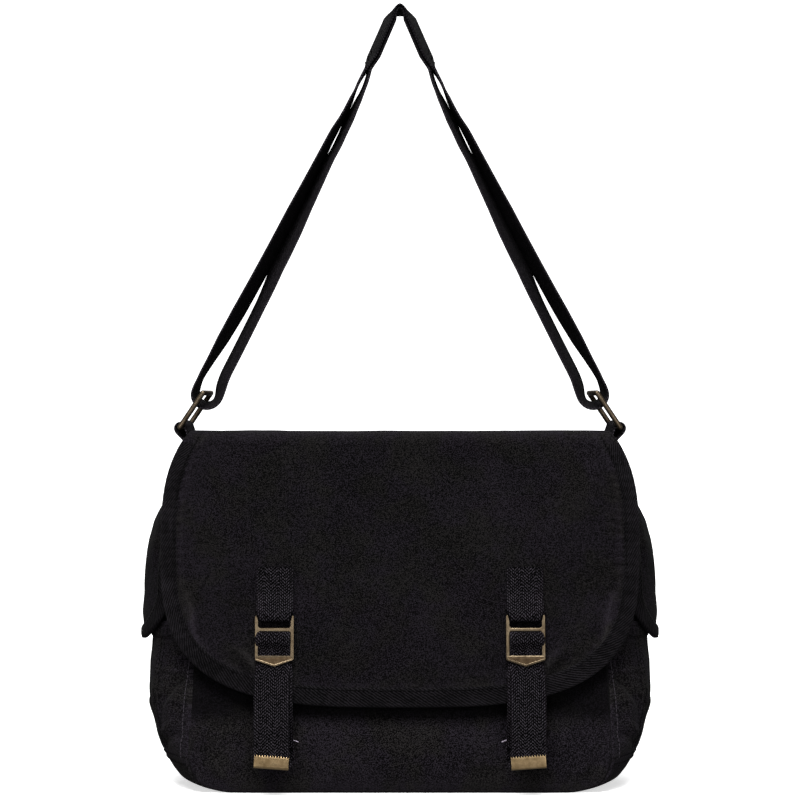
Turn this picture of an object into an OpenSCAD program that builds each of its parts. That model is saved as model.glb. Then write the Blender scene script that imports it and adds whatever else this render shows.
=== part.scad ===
// Canvas messenger bag, in millimetres. +X is the bag's right as seen from the front,
// the front faces -Y, +Z is up, and the origin is the middle of the base.

/* [Bag body] */
// Widest half width of the body, at the crest of the gussets
body_half_w = 190; // [180:1:200]
// Height of the body's rim
body_h = 253; // [250:1:255]
// Half depth of the body near the base
base_half_d = 57; // [54:1:59]
// How much narrower each half depth is at the rim
depth_taper = 25; // [22:1:28]
// Half width of the front and back panels at their lower corners
panel_half_w = 156; // [153:1:158]
// Thickness of a canvas panel
canvas_t = 2; // [1.6:0.1:2.2]
// Height up to which the base panel wraps the corners
base_wrap_h = 25; // [22:1:30]

/* [Flap] */
// Widest half width of the flap
flap_half_w = 175; // [172:1:178]
// Height of the flap's lowest edge
flap_low_z = 67; // [61:1:71]
// Height where the flap's sides start to round in
flap_round_z = 186; // [176:1:191]
// Thickness of the flap's canvas
flap_t = 2.4; // [2:0.1:2.6]
// Lean of the flap's front from the vertical, in degrees
flap_lean = 7; // [6:0.5:8]
// Width of the folded tape that binds the flap
tape_w = 12; // [10:0.5:14]

/* [Side flaps and pockets] */
// Height of the side flaps' lowest edge
ear_low_z = 110; // [107:1:119]
// Half length of a side flap across the gusset
ear_half_d = 40; // [36:1:42]
// Height of the side pockets' hem
pocket_hem_z = 124; // [118:1:126]

/* [Closures] */
// Distance of each closure from the middle of the bag
closure_x = 91.5; // [80:0.5:100]
// Width of the closure webbing
web_w = 23.4; // [22:0.2:23.6]
// Thickness of the closure webbing
web_t = 1.6; // [1.4:0.1:1.7]
// Outer width of a buckle frame
buckle_w = 29; // [28.8:0.1:31]
// Thickness of a buckle's stamped plate
buckle_t = 1.6; // [1.4:0.1:1.7]

/* [Shoulder strap] */
// Width of the shoulder strap's webbing
strap_w = 38; // [36:1:38]
// Thickness of the shoulder strap's webbing
strap_t = 2.6; // [2.2:0.1:2.8]
// Height of the middle of the shoulder strap's crown
crown_z = 585; // [576:1:588]
// Wire diameter of the rings
ring_wire = 4; // [3.6:0.2:4.2]
// Length of a ring's opening along the strap
ring_in_l = 27; // [26.6:0.1:27.4]
// Width of a ring's opening across the strap
ring_in_w = 40; // [39.6:0.1:42]

/* [Hidden] */

canvas_black = [0.12, 0.115, 0.125];
web_black = [0.15, 0.14, 0.155];
tape_black = [0.17, 0.165, 0.18];
lining_grey = [0.28, 0.27, 0.28];
antique_brass = [0.55, 0.45, 0.32];

gap = 0.4;                 // clearance between neighbouring pieces
widest_z = 76;             // height of the body's widest point
corner_z = 30;             // height below which the panels' corners round in
toe_z = 10;                // height below which the base's edge rolls under
deep_z = 51;               // height of the body's deepest point
panel_bulge = 5;           // how far the stuffed front and back belly out
flap_clear = 0.3;          // clearance of what is sewn on the flap

// ---- The body's surface ----

function toe(z) = pow(max(0, toe_z - z) / toe_z, 2.5);
// Half width of the body at the gusset's crest
function crest(z) = z < widest_z
    ? body_half_w - 30 * pow((widest_z - z) / widest_z, 2) - 20 * toe(z)
    : body_half_w - 37 * pow((z - widest_z) / 180, 2);
// Half width of the front and back panels
function panel_w(z) = z < corner_z
    ? panel_half_w - 12 * pow((corner_z - z) / corner_z, 2) - 18 * toe(z)
    : panel_half_w - 0.05 * (z - corner_z);
// Half depth of the body
function depth(z) = z < deep_z
    ? base_half_d - 6 * pow((deep_z - z) / deep_z, 3)
    : base_half_d - depth_taper * pow((z - deep_z) / 202, 1.5);
// Belly of the panels, none at their edges
function belly(u, z) = panel_bulge * (1 - u * u) * sin(180 * z / body_h);

// Point of the front panel: u across it, v down it, o outwards
function panel_pt(u, v, o) =
    let (z = body_h * pow(1 - v, 1.7))
    [u * panel_w(z), -depth(z) - belly(u, z) - o, z];
// Point of the right gusset between two heights: u from front to back
function gusset_pt(u, v, o, z0, z1, half) =
    let (z = z0 + (z1 - z0) * v, y = u * half(z), k = y / depth(z))
    [panel_w(z) + (crest(z) - panel_w(z)) * (1 - k * k) + o, y, z];
function inside_d(z) = depth(z) - canvas_t - gap;

// Outline of the body at height z, moved in by o
function outline(z, o, n = 8) =
    let (w = panel_w(z) - o, c = crest(z) - o, d = depth(z) - o)
    concat(
        [for (i = [0:n]) let (u = 2 * i / n - 1) [u * w, -d - belly(u, z)]],
        [for (i = [1:n - 1]) let (k = 2 * i / n - 1) [w + (c - w) * (1 - k * k), k * d]],
        [for (i = [0:n]) let (u = 1 - 2 * i / n) [u * w, d + belly(u, z)]],
        [for (i = [1:n - 1]) let (k = 1 - 2 * i / n) [-w - (c - w) * (1 - k * k), k * d]]
    );

// ---- Building blocks ----

// A thin solid between two offsets of the surface pt(u, v, o)
module shell(pt, outer, inner, nu, nv) {
    n = nu + 1;
    m = n * (nv + 1);
    grid = [for (o = [outer, inner]) for (j = [0:nv]) for (i = [0:nu])
        pt(2 * i / nu - 1, j / nv, o)];
    face = [for (j = [0:nv - 1]) for (i = [0:nu - 1])
        let (p = j * n + i)
        each [[p, p + 1, p + 1 + n], [p, p + 1 + n, p + n],
            [m + p, m + p + 1 + n, m + p + 1], [m + p, m + p + n, m + p + 1 + n]]];
    ends = [for (i = [0:nu - 1])
        let (p = i, q = nv * n + i)
        each [[p, m + p, m + p + 1], [p, m + p + 1, p + 1],
            [q, q + 1, m + q + 1], [q, m + q + 1, m + q]]];
    sides = [for (j = [0:nv - 1])
        let (p = j * n, q = j * n + nu)
        each [[p, p + n, m + p + n], [p, m + p + n, m + p],
            [q, m + q, m + q + n], [q, m + q + n, q + n]]];
    polyhedron(points = grid, faces = concat(face, ends, sides));
}

// A closed solid through stacked outlines of equal length
module loft(rings) {
    n = len(rings[0]);
    k = len(rings) - 1;
    walls = [for (j = [0:k - 1]) for (i = [0:n - 1])
        let (p = j * n + i, q = j * n + (i + 1) % n)
        each [[p, p + n, q + n], [p, q + n, q]]];
    floor_face = [[for (i = [0:n - 1]) i]];
    lid_face = [[for (i = [0:n - 1]) k * n + n - 1 - i]];
    polyhedron(points = [for (r = rings) each r], faces = concat(walls, floor_face, lid_face));
}

// Outline of a strip of thickness t that follows the path pts
function unit(v) = v / norm(v);
function side_dir(pts, i) =
    let (a = pts[max(i - 1, 0)], b = pts[min(i + 1, len(pts) - 1)], d = unit(b - a))
    [-d[1], d[0]];
function strip(pts, t) = concat(
    [for (i = [0:len(pts) - 1]) pts[i] + side_dir(pts, i) * t / 2],
    [for (i = [len(pts) - 1:-1:0]) pts[i] - side_dir(pts, i) * t / 2]
);
function arc(c, r, a0, a1, n) = [for (i = [0:n])
    let (a = a0 + (a1 - a0) * i / n) c + r * [cos(a), sin(a)]];

// Webbing of width w on edge along Y, following a path in X and Z
module web_xz(pts, t, w) {
    translate([0, w / 2, 0])
        rotate([90, 0, 0])
            linear_extrude(w) polygon(strip(pts, t));
}
module both_sides(left) {
    if (left) mirror([1, 0, 0]) children();
    else children();
}

// ---- Bag body ----

module front_panel() {
    color(canvas_black) shell(function(u, v, o) panel_pt(u, v, o), 0, -canvas_t, 14, 12);
}
module back_panel() {
    color(canvas_black) rotate(180)
        shell(function(u, v, o) panel_pt(u, v, o), 0, -canvas_t, 14, 12);
}
module base_corner() {
    shell(
        function(u, v, o) gusset_pt(u, v, o, base_wrap_h, 0.8, function(z) inside_d(z)),
        0, -canvas_t, 10, 9
    );
}
module base_panel() {
    color(canvas_black) {
        base_corner();
        mirror([1, 0, 0]) base_corner();
        linear_extrude(canvas_t) intersection() {
            polygon(outline(0.8, 0.3));
            square([400, 2 * inside_d(0.8) - 0.4], center = true);
        }
    }
}
module gusset() {
    shell(
        function(u, v, o)
            gusset_pt(u, v, o, body_h, base_wrap_h + gap, function(z) inside_d(z)),
        0, -canvas_t, 10, 12
    );
}
module gusset_left() { color(canvas_black) both_sides(true) gusset(); }
module gusset_right() { color(canvas_black) both_sides(false) gusset(); }

module mouth_binding() {
    color(tape_black)
        translate([0, 0, body_h + gap])
            linear_extrude(1.6) difference() {
                polygon(outline(body_h, -0.4));
                polygon(outline(body_h, 3));
            }
}

lining_low = canvas_t + 0.8;
lining_high = body_h - 2;
lining_rings = 10;
module lining_core(o) {
    loft([for (j = [0:lining_rings])
        let (z = lining_low + (lining_high - lining_low) * pow(j / lining_rings, 1.5))
        [for (p = outline(z, o, 6)) [p[0], p[1], z]]]);
}
module bag_lining() {
    color(lining_grey)
        difference() {
            lining_core(canvas_t + 1.2);
            translate([0, 0, 0.8]) lining_core(canvas_t + 2);
        }
}

module side_pocket() {
    shell(
        function(u, v, o) gusset_pt(
            u, v, o + 0.5 + 0.6 * (1 - u * u) * sin(90 * (1 - v)),
            pocket_hem_z, base_wrap_h + 1, function(z) inside_d(z) - 1),
        1.4, 0, 10, 8
    );
}
module side_pocket_left() { color(canvas_black) both_sides(true) side_pocket(); }
module side_pocket_right() { color(canvas_black) both_sides(false) side_pocket(); }

// ---- Side flaps ----

ear_high_z = 229;          // height of a side flap's seam
ear_full_z = 186;          // height where it stands off the gusset most
// How far a side flap stands off the gusset, and how far its sides fall back
function ear_gap(z) = z > ear_full_z
    ? 14 - 11.4 * pow((z - ear_full_z) / (ear_high_z - ear_full_z), 2)
    : 14 - 7.5 * pow((ear_full_z - z) / 71, 1.2);
function ease(k) = k <= 0 ? 0 : k >= 1 ? 1 : k * k * (3 - 2 * k);
function ear_fall(z) = 1 + 17 * ease((ear_high_z - z) / 42) + 5 * (ear_high_z - z) / 88;
// A side flap is U shaped: its lower edge is half an ellipse
function ear_low(u) = ear_low_z + 34 * (1 - sqrt(1 - pow(0.985 * u, 2)));
function ear_pt(u, v, o) =
    let (s = sin(90 * u), z = ear_high_z + (ear_low(s) - ear_high_z) * v)
    let (y = s * min(ear_half_d, depth(z) - 3))
    [crest(z) + ear_gap(z) - ear_fall(z) * pow(y / ear_half_d, 2) + o, y, z];
module side_flap() {
    shell(function(u, v, o) ear_pt(u, v, o), 0, -1.8, 14, 10);
}
module side_flap_left() { color(canvas_black) both_sides(true) side_flap(); }
module side_flap_right() { color(canvas_black) both_sides(false) side_flap(); }

// Tape round the side flap's lower edge, standing just outside the canvas
module side_flap_binding() {
    shell(
        function(u, v, o) ear_pt(u, 0.86 + 0.14 * v, o),
        1.4, gap, 14, 2
    );
}
module side_flap_binding_left() { color(tape_black) both_sides(true) side_flap_binding(); }
module side_flap_binding_right() { color(tape_black) both_sides(false) side_flap_binding(); }

// ---- Flap ----

flap_z = 267;              // height of the flap's top
flap_back_y = 36;          // where the flap's top starts, above the back panel
flap_fold_y = -36;         // where the top ends and the front fold starts
fold_r = 12;               // radius of the front fold
fold_sweep = 90 - flap_lean;
top_len = flap_back_y - flap_fold_y;
fold_len = PI * fold_r * fold_sweep / 180;
fold_c = [flap_fold_y, flap_z - fold_r];
front_start = fold_c + fold_r * [-sin(fold_sweep), cos(fold_sweep)];
down = [-sin(flap_lean), -cos(flap_lean)];
out = [-cos(flap_lean), sin(flap_lean)];
split_t = top_len + fold_len / 2;
flap_corner_n = 3.2;

// Place along the flap's middle line, t millimetres from its back edge, o off it
function flap_line(t, o) =
    t < top_len
        ? let (k = 1 - t / top_len) [flap_back_y - t, flap_z - 6 * pow(k, 3) + o]
    : t < top_len + fold_len
        ? let (a = fold_sweep * (t - top_len) / fold_len)
            fold_c + (fold_r + o) * [-sin(a), cos(a)]
    : front_start + down * (t - top_len - fold_len) + out * o;
function t_of_z(z) = top_len + fold_len + (front_start[1] - z) / cos(flap_lean);
function z_of_t(t) = flap_line(t, 0)[1];
// Half width of the flap along its length
function flap_w(t) =
    let (z = z_of_t(t))
    t < top_len ? flap_half_w - 20 - 5 * (1 - t / top_len)
    : z > flap_round_z ? flap_half_w - 20 * pow((z - flap_round_z) / (flap_z - flap_round_z), 3)
    : flap_half_w;
// Height of the flap's lower edge at the relative place u across it
function flap_edge_z(u, inset) =
    flap_round_z - (flap_round_z - flap_low_z - inset)
        * pow(max(0, 1 - pow(abs(u), flap_corner_n)), 1 / flap_corner_n);
function flap_pt(x, t, o) = let (p = flap_line(t, o)) [x, p[0], p[1]];
function flap_top_pt(u, v, o, inset) =
    let (t = inset + gap + (split_t - gap - inset) * v) flap_pt(u * (flap_w(t) - inset), t, o);
function flap_front_pt(u, v, o, inset) =
    let (s = sin(90 * u), t1 = t_of_z(flap_edge_z(s, inset)), t0 = split_t + gap)
    let (t = t0 + (t1 - t0) * v) flap_pt(s * (flap_w(t) - inset), t, o);

module flap_top() {
    color(canvas_black)
        shell(function(u, v, o) flap_top_pt(u, v, o, 0), 0, -flap_t, 12, 12);
}
module flap_lining_top() {
    color(lining_grey) shell(
        function(u, v, o) flap_top_pt(u, v, o, 1.5),
        -flap_t - flap_clear, -flap_t - 1, 10, 12
    );
}
module flap_binding_strip() {
    shell(
        function(u, v, o)
            let (t = 1 + (split_t - 1 - gap) * v)
            flap_pt(flap_w(t) - tape_w * (1 - u) / 2, t, o),
        1.3, flap_clear, 2, 12
    );
}
module flap_binding_top() {
    color(tape_black) {
        flap_binding_strip();
        mirror([1, 0, 0]) flap_binding_strip();
    }
}
module flap_front() {
    color(canvas_black)
        shell(function(u, v, o) flap_front_pt(u, v, o, 0), 0, -flap_t, 32, 12);
}
module flap_lining_front() {
    color(lining_grey) shell(
        function(u, v, o) flap_front_pt(u, v, o, 1.5),
        -flap_t - flap_clear, -flap_t - 1, 24, 10
    );
}
// The tape's place round the flap: s runs from the left fold, round the bottom, to the right
side_share = 0.35;
function tape_pt(s, v, o) =
    let (inset = tape_w * v, k = max(0, (abs(s) - 1 + side_share) / side_share))
    let (a = 90 * min(1, abs(s) / (1 - side_share)), round_t = t_of_z(flap_round_z))
    let (t = k > 0
        ? round_t + (split_t + gap - round_t) * k
        : t_of_z(flap_round_z - (flap_round_z - flap_low_z - inset)
            * pow(max(0, cos(a)), 2 / flap_corner_n)))
    let (w = k > 0 ? flap_w(t) - inset : (flap_half_w - inset) * pow(sin(a), 2 / flap_corner_n))
    flap_pt(sign(s) * w, t, o);
module flap_binding_front() {
    color(tape_black)
        shell(function(u, v, o) tape_pt(u, 1 - v, o), 1.3, flap_clear, 60, 2);
}

// ---- Closures ----
// A closure's own frame: x across it, y away from the flap, z down the flap's face.

closure_top_z = 167;       // top of the strap sewn on the flap
bar_z = 128.5;             // height of the buckle's hidden top bar
rail_w = 2.4;
bar_r = 1.1;
frame_y = 6.2;             // middle of the buckle's plate, off the flap
bar_l = (closure_top_z - bar_z) / cos(flap_lean);
cross_l = bar_l + 6.8;     // middle of the cross bar, down from the closure's top
plate_l = bar_l + 25.6;    // top edge of the pointed plate
plate_side = 2.6;
plate_point = 8.6;
tail_l = bar_l + 105.5;     // lower end of the tail's webbing
tip_h = 9.4;
slide_l = bar_l + 12.5;    // middle of the sliding bar
anchor_l = bar_l + 92;     // where the standing part reaches the front panel
anchor_drop = 15;          // how far it leans in from the flap by then
turn_r = 2.3;              // radius of the strap's turn round the sliding bar
under_shift = 2.2;         // how far the standing part sits towards the middle

module at_closure(left) {
    start = flap_line(t_of_z(closure_top_z), 0);
    both_sides(left)
        translate([closure_x, start[0], start[1]])
            rotate([-flap_lean, 0, 0])
                mirror([0, 0, 1]) mirror([0, 1, 0])
                    children();
}
// Webbing across x, following a path of [y, z] points in the closure's frame
module web_yz(pts, w) {
    rotate([90, 0, 90])
        translate([0, 0, -w / 2])
            linear_extrude(w) polygon(strip(pts, web_t));
}

lower_y = flap_clear + 1.3 + web_t / 2;
fold_out = bar_r + gap + web_t / 2;
module flap_strap() {
    web_yz(concat(
        [[lower_y, 0], [lower_y, bar_l - 12], [frame_y - fold_out, bar_l - 1.5]],
        arc([frame_y, bar_l], fold_out, 180, 0, 10),
        [[frame_y + fold_out, bar_l - 2], [lower_y + web_t + 0.2, bar_l - 15],
            [lower_y + web_t + 0.2, 0]]
    ), web_w);
}
module flap_strap_left() { color(web_black) at_closure(true) flap_strap(); }
module flap_strap_right() { color(web_black) at_closure(false) flap_strap(); }

module rail_bar(l, h) {
    translate([-buckle_w / 2, frame_y - buckle_t / 2, l - h / 2])
        cube([buckle_w, buckle_t, h]);
}
module buckle_frame() {
    for (s = [-1, 1])
        translate([s * (buckle_w - rail_w) / 2 - rail_w / 2, frame_y - buckle_t / 2, bar_l - 3.6])
            cube([rail_w, buckle_t, plate_l - bar_l + 3.7]);
    translate([-buckle_w / 2 + 1, frame_y, bar_l])
        rotate([0, 90, 0])
            cylinder(h = buckle_w - 2, r = bar_r, $fn = 32);
    rail_bar(cross_l, 2.6);
    translate([0, frame_y + buckle_t / 2, 0])
        rotate([90, 0, 0])
            linear_extrude(buckle_t) polygon([
                [-buckle_w / 2, plate_l], [buckle_w / 2, plate_l],
                [buckle_w / 2, plate_l + plate_side], [0, plate_l + plate_point],
                [-buckle_w / 2, plate_l + plate_side]
            ]);
}
module buckle_frame_left() { color(antique_brass) at_closure(true) buckle_frame(); }
module buckle_frame_right() { color(antique_brass) at_closure(false) buckle_frame(); }

// The sliding bar lies behind the rails, and the closure strap turns round it
slide_y = lower_y + web_t / 2 + gap + 0.8;
module buckle_slide() {
    translate([-buckle_w / 2 + 0.6, slide_y - 0.6, slide_l - 2])
        cube([buckle_w - 1.2, 1.2, 4]);
}
module buckle_slide_left() { color(antique_brass) at_closure(true) buckle_slide(); }
module buckle_slide_right() { color(antique_brass) at_closure(false) buckle_slide(); }

// The closure strap rises from the front panel, turns round the bar and hangs as a tail
tail_y = lower_y + web_t + 0.1;
module closure_strap() {
    turn_y = lower_y + turn_r;
    web_yz(concat(
        [[lower_y - anchor_drop, anchor_l], [lower_y, bar_l + 62], [lower_y, slide_l - 0.5]],
        arc([turn_y, slide_l - 1], turn_r, 180, 360, 8),
        [[turn_y + turn_r, slide_l + 3], [tail_y, plate_l - 4.5], [tail_y, tail_l]]
    ), web_w);
}
module closure_strap_left() { color(web_black) at_closure(true) closure_strap(); }
module closure_strap_right() { color(web_black) at_closure(false) closure_strap(); }

// The tip is a folded brass clip over the tail's end, with a row of teeth along its top
tooth = 1.4;
tip_wall = 0.5;
module strap_tip() {
    w = web_w + 1.6;
    teeth = floor(w / tooth);
    for (s = [-1, 1])
        translate([0, tail_y + s * (web_t / 2 + 0.1 + tip_wall / 2) + tip_wall / 2, tail_l])
            rotate([90, 0, 0])
                linear_extrude(tip_wall) polygon(concat(
                    [[w / 2, 1], [-w / 2, 1]],
                    [for (i = [0:teeth - 1]) each [
                        [-w / 2 + w * i / teeth, 1 - tip_h],
                        [-w / 2 + w * (i + 0.5) / teeth, 2.2 - tip_h]]],
                    [[w / 2, 1 - tip_h]]
                ));
    translate([-w / 2, tail_y - web_t / 2 - 0.6, tail_l + 0.2])
        cube([w, web_t + 1.2, 0.8]);
}
module strap_tip_left() { color(antique_brass) at_closure(true) strap_tip(); }
module strap_tip_right() { color(antique_brass) at_closure(false) strap_tip(); }

// The end of the closure strap that is sewn to the front panel
anchor_z = 35;
anchor_h = 15;
module strap_anchor() {
    front_y = -depth(anchor_z) - belly(closure_x / panel_w(anchor_z), anchor_z);
    translate([closure_x - web_w / 2 - under_shift, front_y - gap - web_t, anchor_z - anchor_h])
        cube([web_w, web_t, anchor_h]);
}
module strap_anchor_left() { color(web_black) both_sides(true) strap_anchor(); }
module strap_anchor_right() { color(web_black) both_sides(false) strap_anchor(); }

// ---- Rings, tabs and shoulder strap ----

ring_c = [155.3, 282.2];    // middle of the right ring, in X and Z
ring_lean = 34;            // lean of the ring from the vertical
ring_turn = 3;             // how far its rear end is turned towards the middle
ring_dir = [-sin(ring_lean), cos(ring_lean)];
ring_half_l = (ring_in_l + ring_wire) / 2;
ring_half_w = (ring_in_w + ring_wire) / 2;
low_bar = ring_c - ring_half_l * ring_dir;

module ring() {
    translate([ring_c[0], 0, ring_c[1]])
        rotate([0, -ring_lean, ring_turn]) {
            for (s = [-1, 1]) {
                translate([0, s * ring_half_w, -ring_half_l])
                    cylinder(h = 2 * ring_half_l, d = ring_wire, $fn = 32);
                translate([0, -ring_half_w, s * ring_half_l])
                    rotate([-90, 0, 0])
                        cylinder(h = 2 * ring_half_w, d = ring_wire, $fn = 32);
                for (k = [-1, 1])
                    translate([0, k * ring_half_w, s * ring_half_l])
                        sphere(d = ring_wire, $fn = 32);
            }
        }
}
module ring_left() { color(antique_brass) both_sides(true) ring(); }
module ring_right() { color(antique_brass) both_sides(false) ring(); }

// A tab is webbing doubled round the ring's lower bar and sewn outside the gusset
tab_r = ring_wire / 2 + 1.2 + web_t / 2;
tab_low_z = 232;
module ring_tab() {
    foot = [crest(body_h) + 2.6, body_h + 2.5];
    lean = atan2(low_bar[1] - foot[1], low_bar[0] - foot[0]);
    web_xz(concat(
        [[crest(tab_low_z) + 1.3, tab_low_z], [crest(body_h) + 1.5, body_h], [foot[0] - 1, foot[1]]],
        arc(low_bar, tab_r, lean + 90, lean - 90, 12),
        [[foot[0] + 1.2, foot[1]], [crest(body_h) + 3.3, body_h], [crest(tab_low_z) + 3.1, tab_low_z]]
    ), web_t, strap_w);
}
module ring_tab_left() { color(web_black) both_sides(true) ring_tab(); }
module ring_tab_right() { color(web_black) both_sides(false) ring_tab(); }

loop_c = [146.5, 294.5];   // middle of the strap's loop through the right ring
loop_r = 9.5;
join = [24.3, 541];        // where the strap's two runs are sewn together
// Middle line between the two runs, and half the distance between them
function run_mid(z) =
    let (k = (z - loop_c[1]) / (join[1] - loop_c[1]))
    149.9 + (join[0] - 149.9) * k - 2.4 * sin(180 * k) - 3.4 * pow(max(0, 1 - k * 11.5), 2);
function run_half(z) =
    let (k = (z - loop_c[1]) / (join[1] - loop_c[1]))
    k < 0.95 ? loop_r + (3 - loop_r) * k / 0.95 : 3 - 1.35 * (k - 0.95) / 0.05;
run_steps = 20;
function run(side, up) = [for (i = [0:run_steps])
    let (k = up ? i / run_steps : 1 - i / run_steps)
    let (z = loop_c[1] + (join[1] - loop_c[1]) * k)
    [run_mid(z) + side * run_half(z), z]];
module shoulder_strap_side() {
    web_xz(concat(
        run(1, false),
        [for (a = [-15:-15:-165]) loop_c + loop_r * [cos(a), sin(a)]],
        run(-1, true)
    ), strap_t, strap_w);
}
module shoulder_strap_left() { color(web_black) both_sides(true) shoulder_strap_side(); }
module shoulder_strap_right() { color(web_black) both_sides(false) shoulder_strap_side(); }

// Over the shoulder the two runs are sewn into one band
module shoulder_strap_crown() {
    lean = 23.8;
    low = [join[0] - 0.9, join[1] + 2];
    tip_z = low[1] + low[0] / tan(lean);
    r = (tip_z - crown_z) * sin(lean) / (1 - sin(lean));
    c = [0, crown_z - r];
    color(web_black)
        web_xz(concat(
            [low], arc(c, r, lean, 180 - lean, 12), [[-low[0], low[1]]]
        ), 2 * strap_t + 0.3, strap_w);
}

front_panel();
back_panel();
base_panel();
gusset_left();
gusset_right();
mouth_binding();
bag_lining();
side_pocket_left();
side_pocket_right();
ring_tab_left();
ring_tab_right();
strap_anchor_left();
strap_anchor_right();
side_flap_left();
side_flap_right();
side_flap_binding_left();
side_flap_binding_right();
flap_top();
flap_lining_top();
flap_binding_top();
flap_front();
flap_lining_front();
flap_binding_front();
flap_strap_left();
flap_strap_right();
buckle_frame_left();
buckle_frame_right();
buckle_slide_left();
buckle_slide_right();
closure_strap_left();
closure_strap_right();
strap_tip_left();
strap_tip_right();
ring_left();
ring_right();
shoulder_strap_left();
shoulder_strap_right();
shoulder_strap_crown();
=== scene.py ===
"""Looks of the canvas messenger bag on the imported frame: cloth, webbing, tape, stitches and brass.

Sizes are in millimetres until a mesh is made. +X is the bag's right, the front faces -Y, +Z is up.
"""

import math

import bpy
import numpy as np
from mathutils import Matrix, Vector


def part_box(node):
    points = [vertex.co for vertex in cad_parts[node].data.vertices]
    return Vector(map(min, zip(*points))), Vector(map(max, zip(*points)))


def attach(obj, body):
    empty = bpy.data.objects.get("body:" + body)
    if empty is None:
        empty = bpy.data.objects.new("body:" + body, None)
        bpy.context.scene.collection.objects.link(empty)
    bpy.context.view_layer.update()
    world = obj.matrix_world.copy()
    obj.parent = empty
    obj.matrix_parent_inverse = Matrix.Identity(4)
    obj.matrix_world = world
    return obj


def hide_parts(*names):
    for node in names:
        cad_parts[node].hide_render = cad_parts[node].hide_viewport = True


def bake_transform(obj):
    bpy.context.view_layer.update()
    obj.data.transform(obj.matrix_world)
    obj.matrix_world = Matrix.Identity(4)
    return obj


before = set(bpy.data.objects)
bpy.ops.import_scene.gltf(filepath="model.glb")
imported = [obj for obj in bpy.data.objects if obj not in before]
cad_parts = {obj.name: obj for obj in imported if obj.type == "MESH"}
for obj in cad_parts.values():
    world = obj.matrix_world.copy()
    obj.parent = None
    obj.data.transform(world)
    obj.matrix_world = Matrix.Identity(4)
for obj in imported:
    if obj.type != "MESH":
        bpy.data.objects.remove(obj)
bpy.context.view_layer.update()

MM = 0.001
TAU = 2 * math.pi
RIGHT = (1.0, 0.0, 0.0)
FORWARD = (0.0, -1.0, 0.0)


def node_box(node):
    """Lowest and highest corners of a CAD node, in millimetres."""
    low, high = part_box(node)
    return np.array(low) / MM, np.array(high) / MM


# ---- Driving dimensions, from the frame where it holds them ----

# The body: half widths and depths, and the heights where its outline turns.
BODY_H = node_box("front_panel")[1][2]
BODY_HALF_W = 190.0
PANEL_HALF_W = 156.0
BASE_HALF_D = 57.0
DEPTH_TAPER = 25.0
WIDEST_Z = 76.0
CORNER_Z = 30.0
TOE_Z = 10.0
DEEP_Z = 51.0
PANEL_BULGE = 5.0
BASE_WRAP_H = node_box("base_panel")[1][2]
POCKET_HEM_Z = node_box("side_pocket_left")[1][2]
CANVAS_T = 1.3
SEAM_IN = 0.8
HEM_W = 12.0
LINING_T = 0.7
LINING_OFF = -1.5
LINING_IN = 2.2
SHORT_STITCH = (2.6, 2.1, 0.26)

# The side flaps.
EAR_HIGH_Z = node_box("side_flap_left")[1][2]
EAR_LOW_Z = node_box("side_flap_left")[0][2]
EAR_FULL_Z = 186.0
EAR_HALF_D = 40.0
EAR_ROUND_H = 44.0
EAR_T = 1.5

# The flap: its lower edge, where its sides start to round, its top, back edge and front fold.
FLAP_HALF_W = node_box("flap_front")[1][0]
FLAP_LOW_Z = 67.0
FLAP_ROUND_Z = 186.0
FLAP_Z = 267.0
FLAP_BACK_Y = 36.0
FLAP_FOLD_Y = -36.0
FOLD_R = 12.0
FLAP_LEAN = math.radians(7)
FLAP_CORNER_N = 3.2
TAPE_W = 12.3

# The closures: the sewn top of the webbing, the buckle's top bar, and the buckle off the flap.
CLOSURE_X = 91.5
CLOSURE_TOP_Z = 167.0
BAR_Z = 128.5
FRAME_Y = 6.2
WEB_W = 26.4
WEB_T = 1.5
BUCKLE_W = 29.0

# The strap: the ring's middle and lean, the loop round it, where the runs join, and the crown.
STRAP_W = 38.0
STRAP_T = 2.4
RING_C = np.array([155.3, 282.2])
RING_LEAN = math.radians(34)
RING_HALF_L = 15.5
LOOP_C = np.array([146.5, 294.5])
LOOP_R = 9.5
JOIN = np.array([24.3, 541.0])
CROWN_Z = 585.6


# ---- Lines, noise and creases ----

def together(*parts):
    """Points from their coordinates. A coordinate that all of them share may be one number."""
    return np.stack(np.broadcast_arrays(*parts), -1)


def unit(v):
    return v / np.maximum(1e-9, np.linalg.norm(v, axis=-1, keepdims=True))


def run_length(points):
    """How far along a line each of its points is."""
    return np.concatenate([[0], np.cumsum(np.linalg.norm(np.diff(points, axis=0), axis=1))])


def along_line(at, lengths, values):
    """A line's points, or other rows of three values, at distances from its start."""
    return np.stack([np.interp(at, lengths, values[:, k]) for k in range(3)], -1)


def resample(points, step):
    """Evenly spaced points along a line."""
    points = np.asarray(points, float)
    lengths = run_length(points)
    count = max(2, int(round(lengths[-1] / step)) + 1)
    at = np.linspace(0, lengths[-1], count)
    return along_line(at, lengths, points)


def relax(line, times):
    """Evens out the corners of a line of points."""
    for _ in range(times):
        line[1:-1] = (line[:-2] + 2 * line[1:-1] + line[2:]) / 4


def heading(x, y):
    """Directions along a flat line of points."""
    return unit(together(np.gradient(x), np.gradient(y)))


def arc(center, radius, angles):
    """Points of a circle's arc."""
    return [(center[0] + radius * math.cos(a), center[1] + radius * math.sin(a)) for a in angles]


def grid(rows, cols):
    """Row and column places from 0 to 1, as a grid."""
    return np.meshgrid(np.linspace(0, 1, rows), np.linspace(0, 1, cols), indexing="ij")


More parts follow.
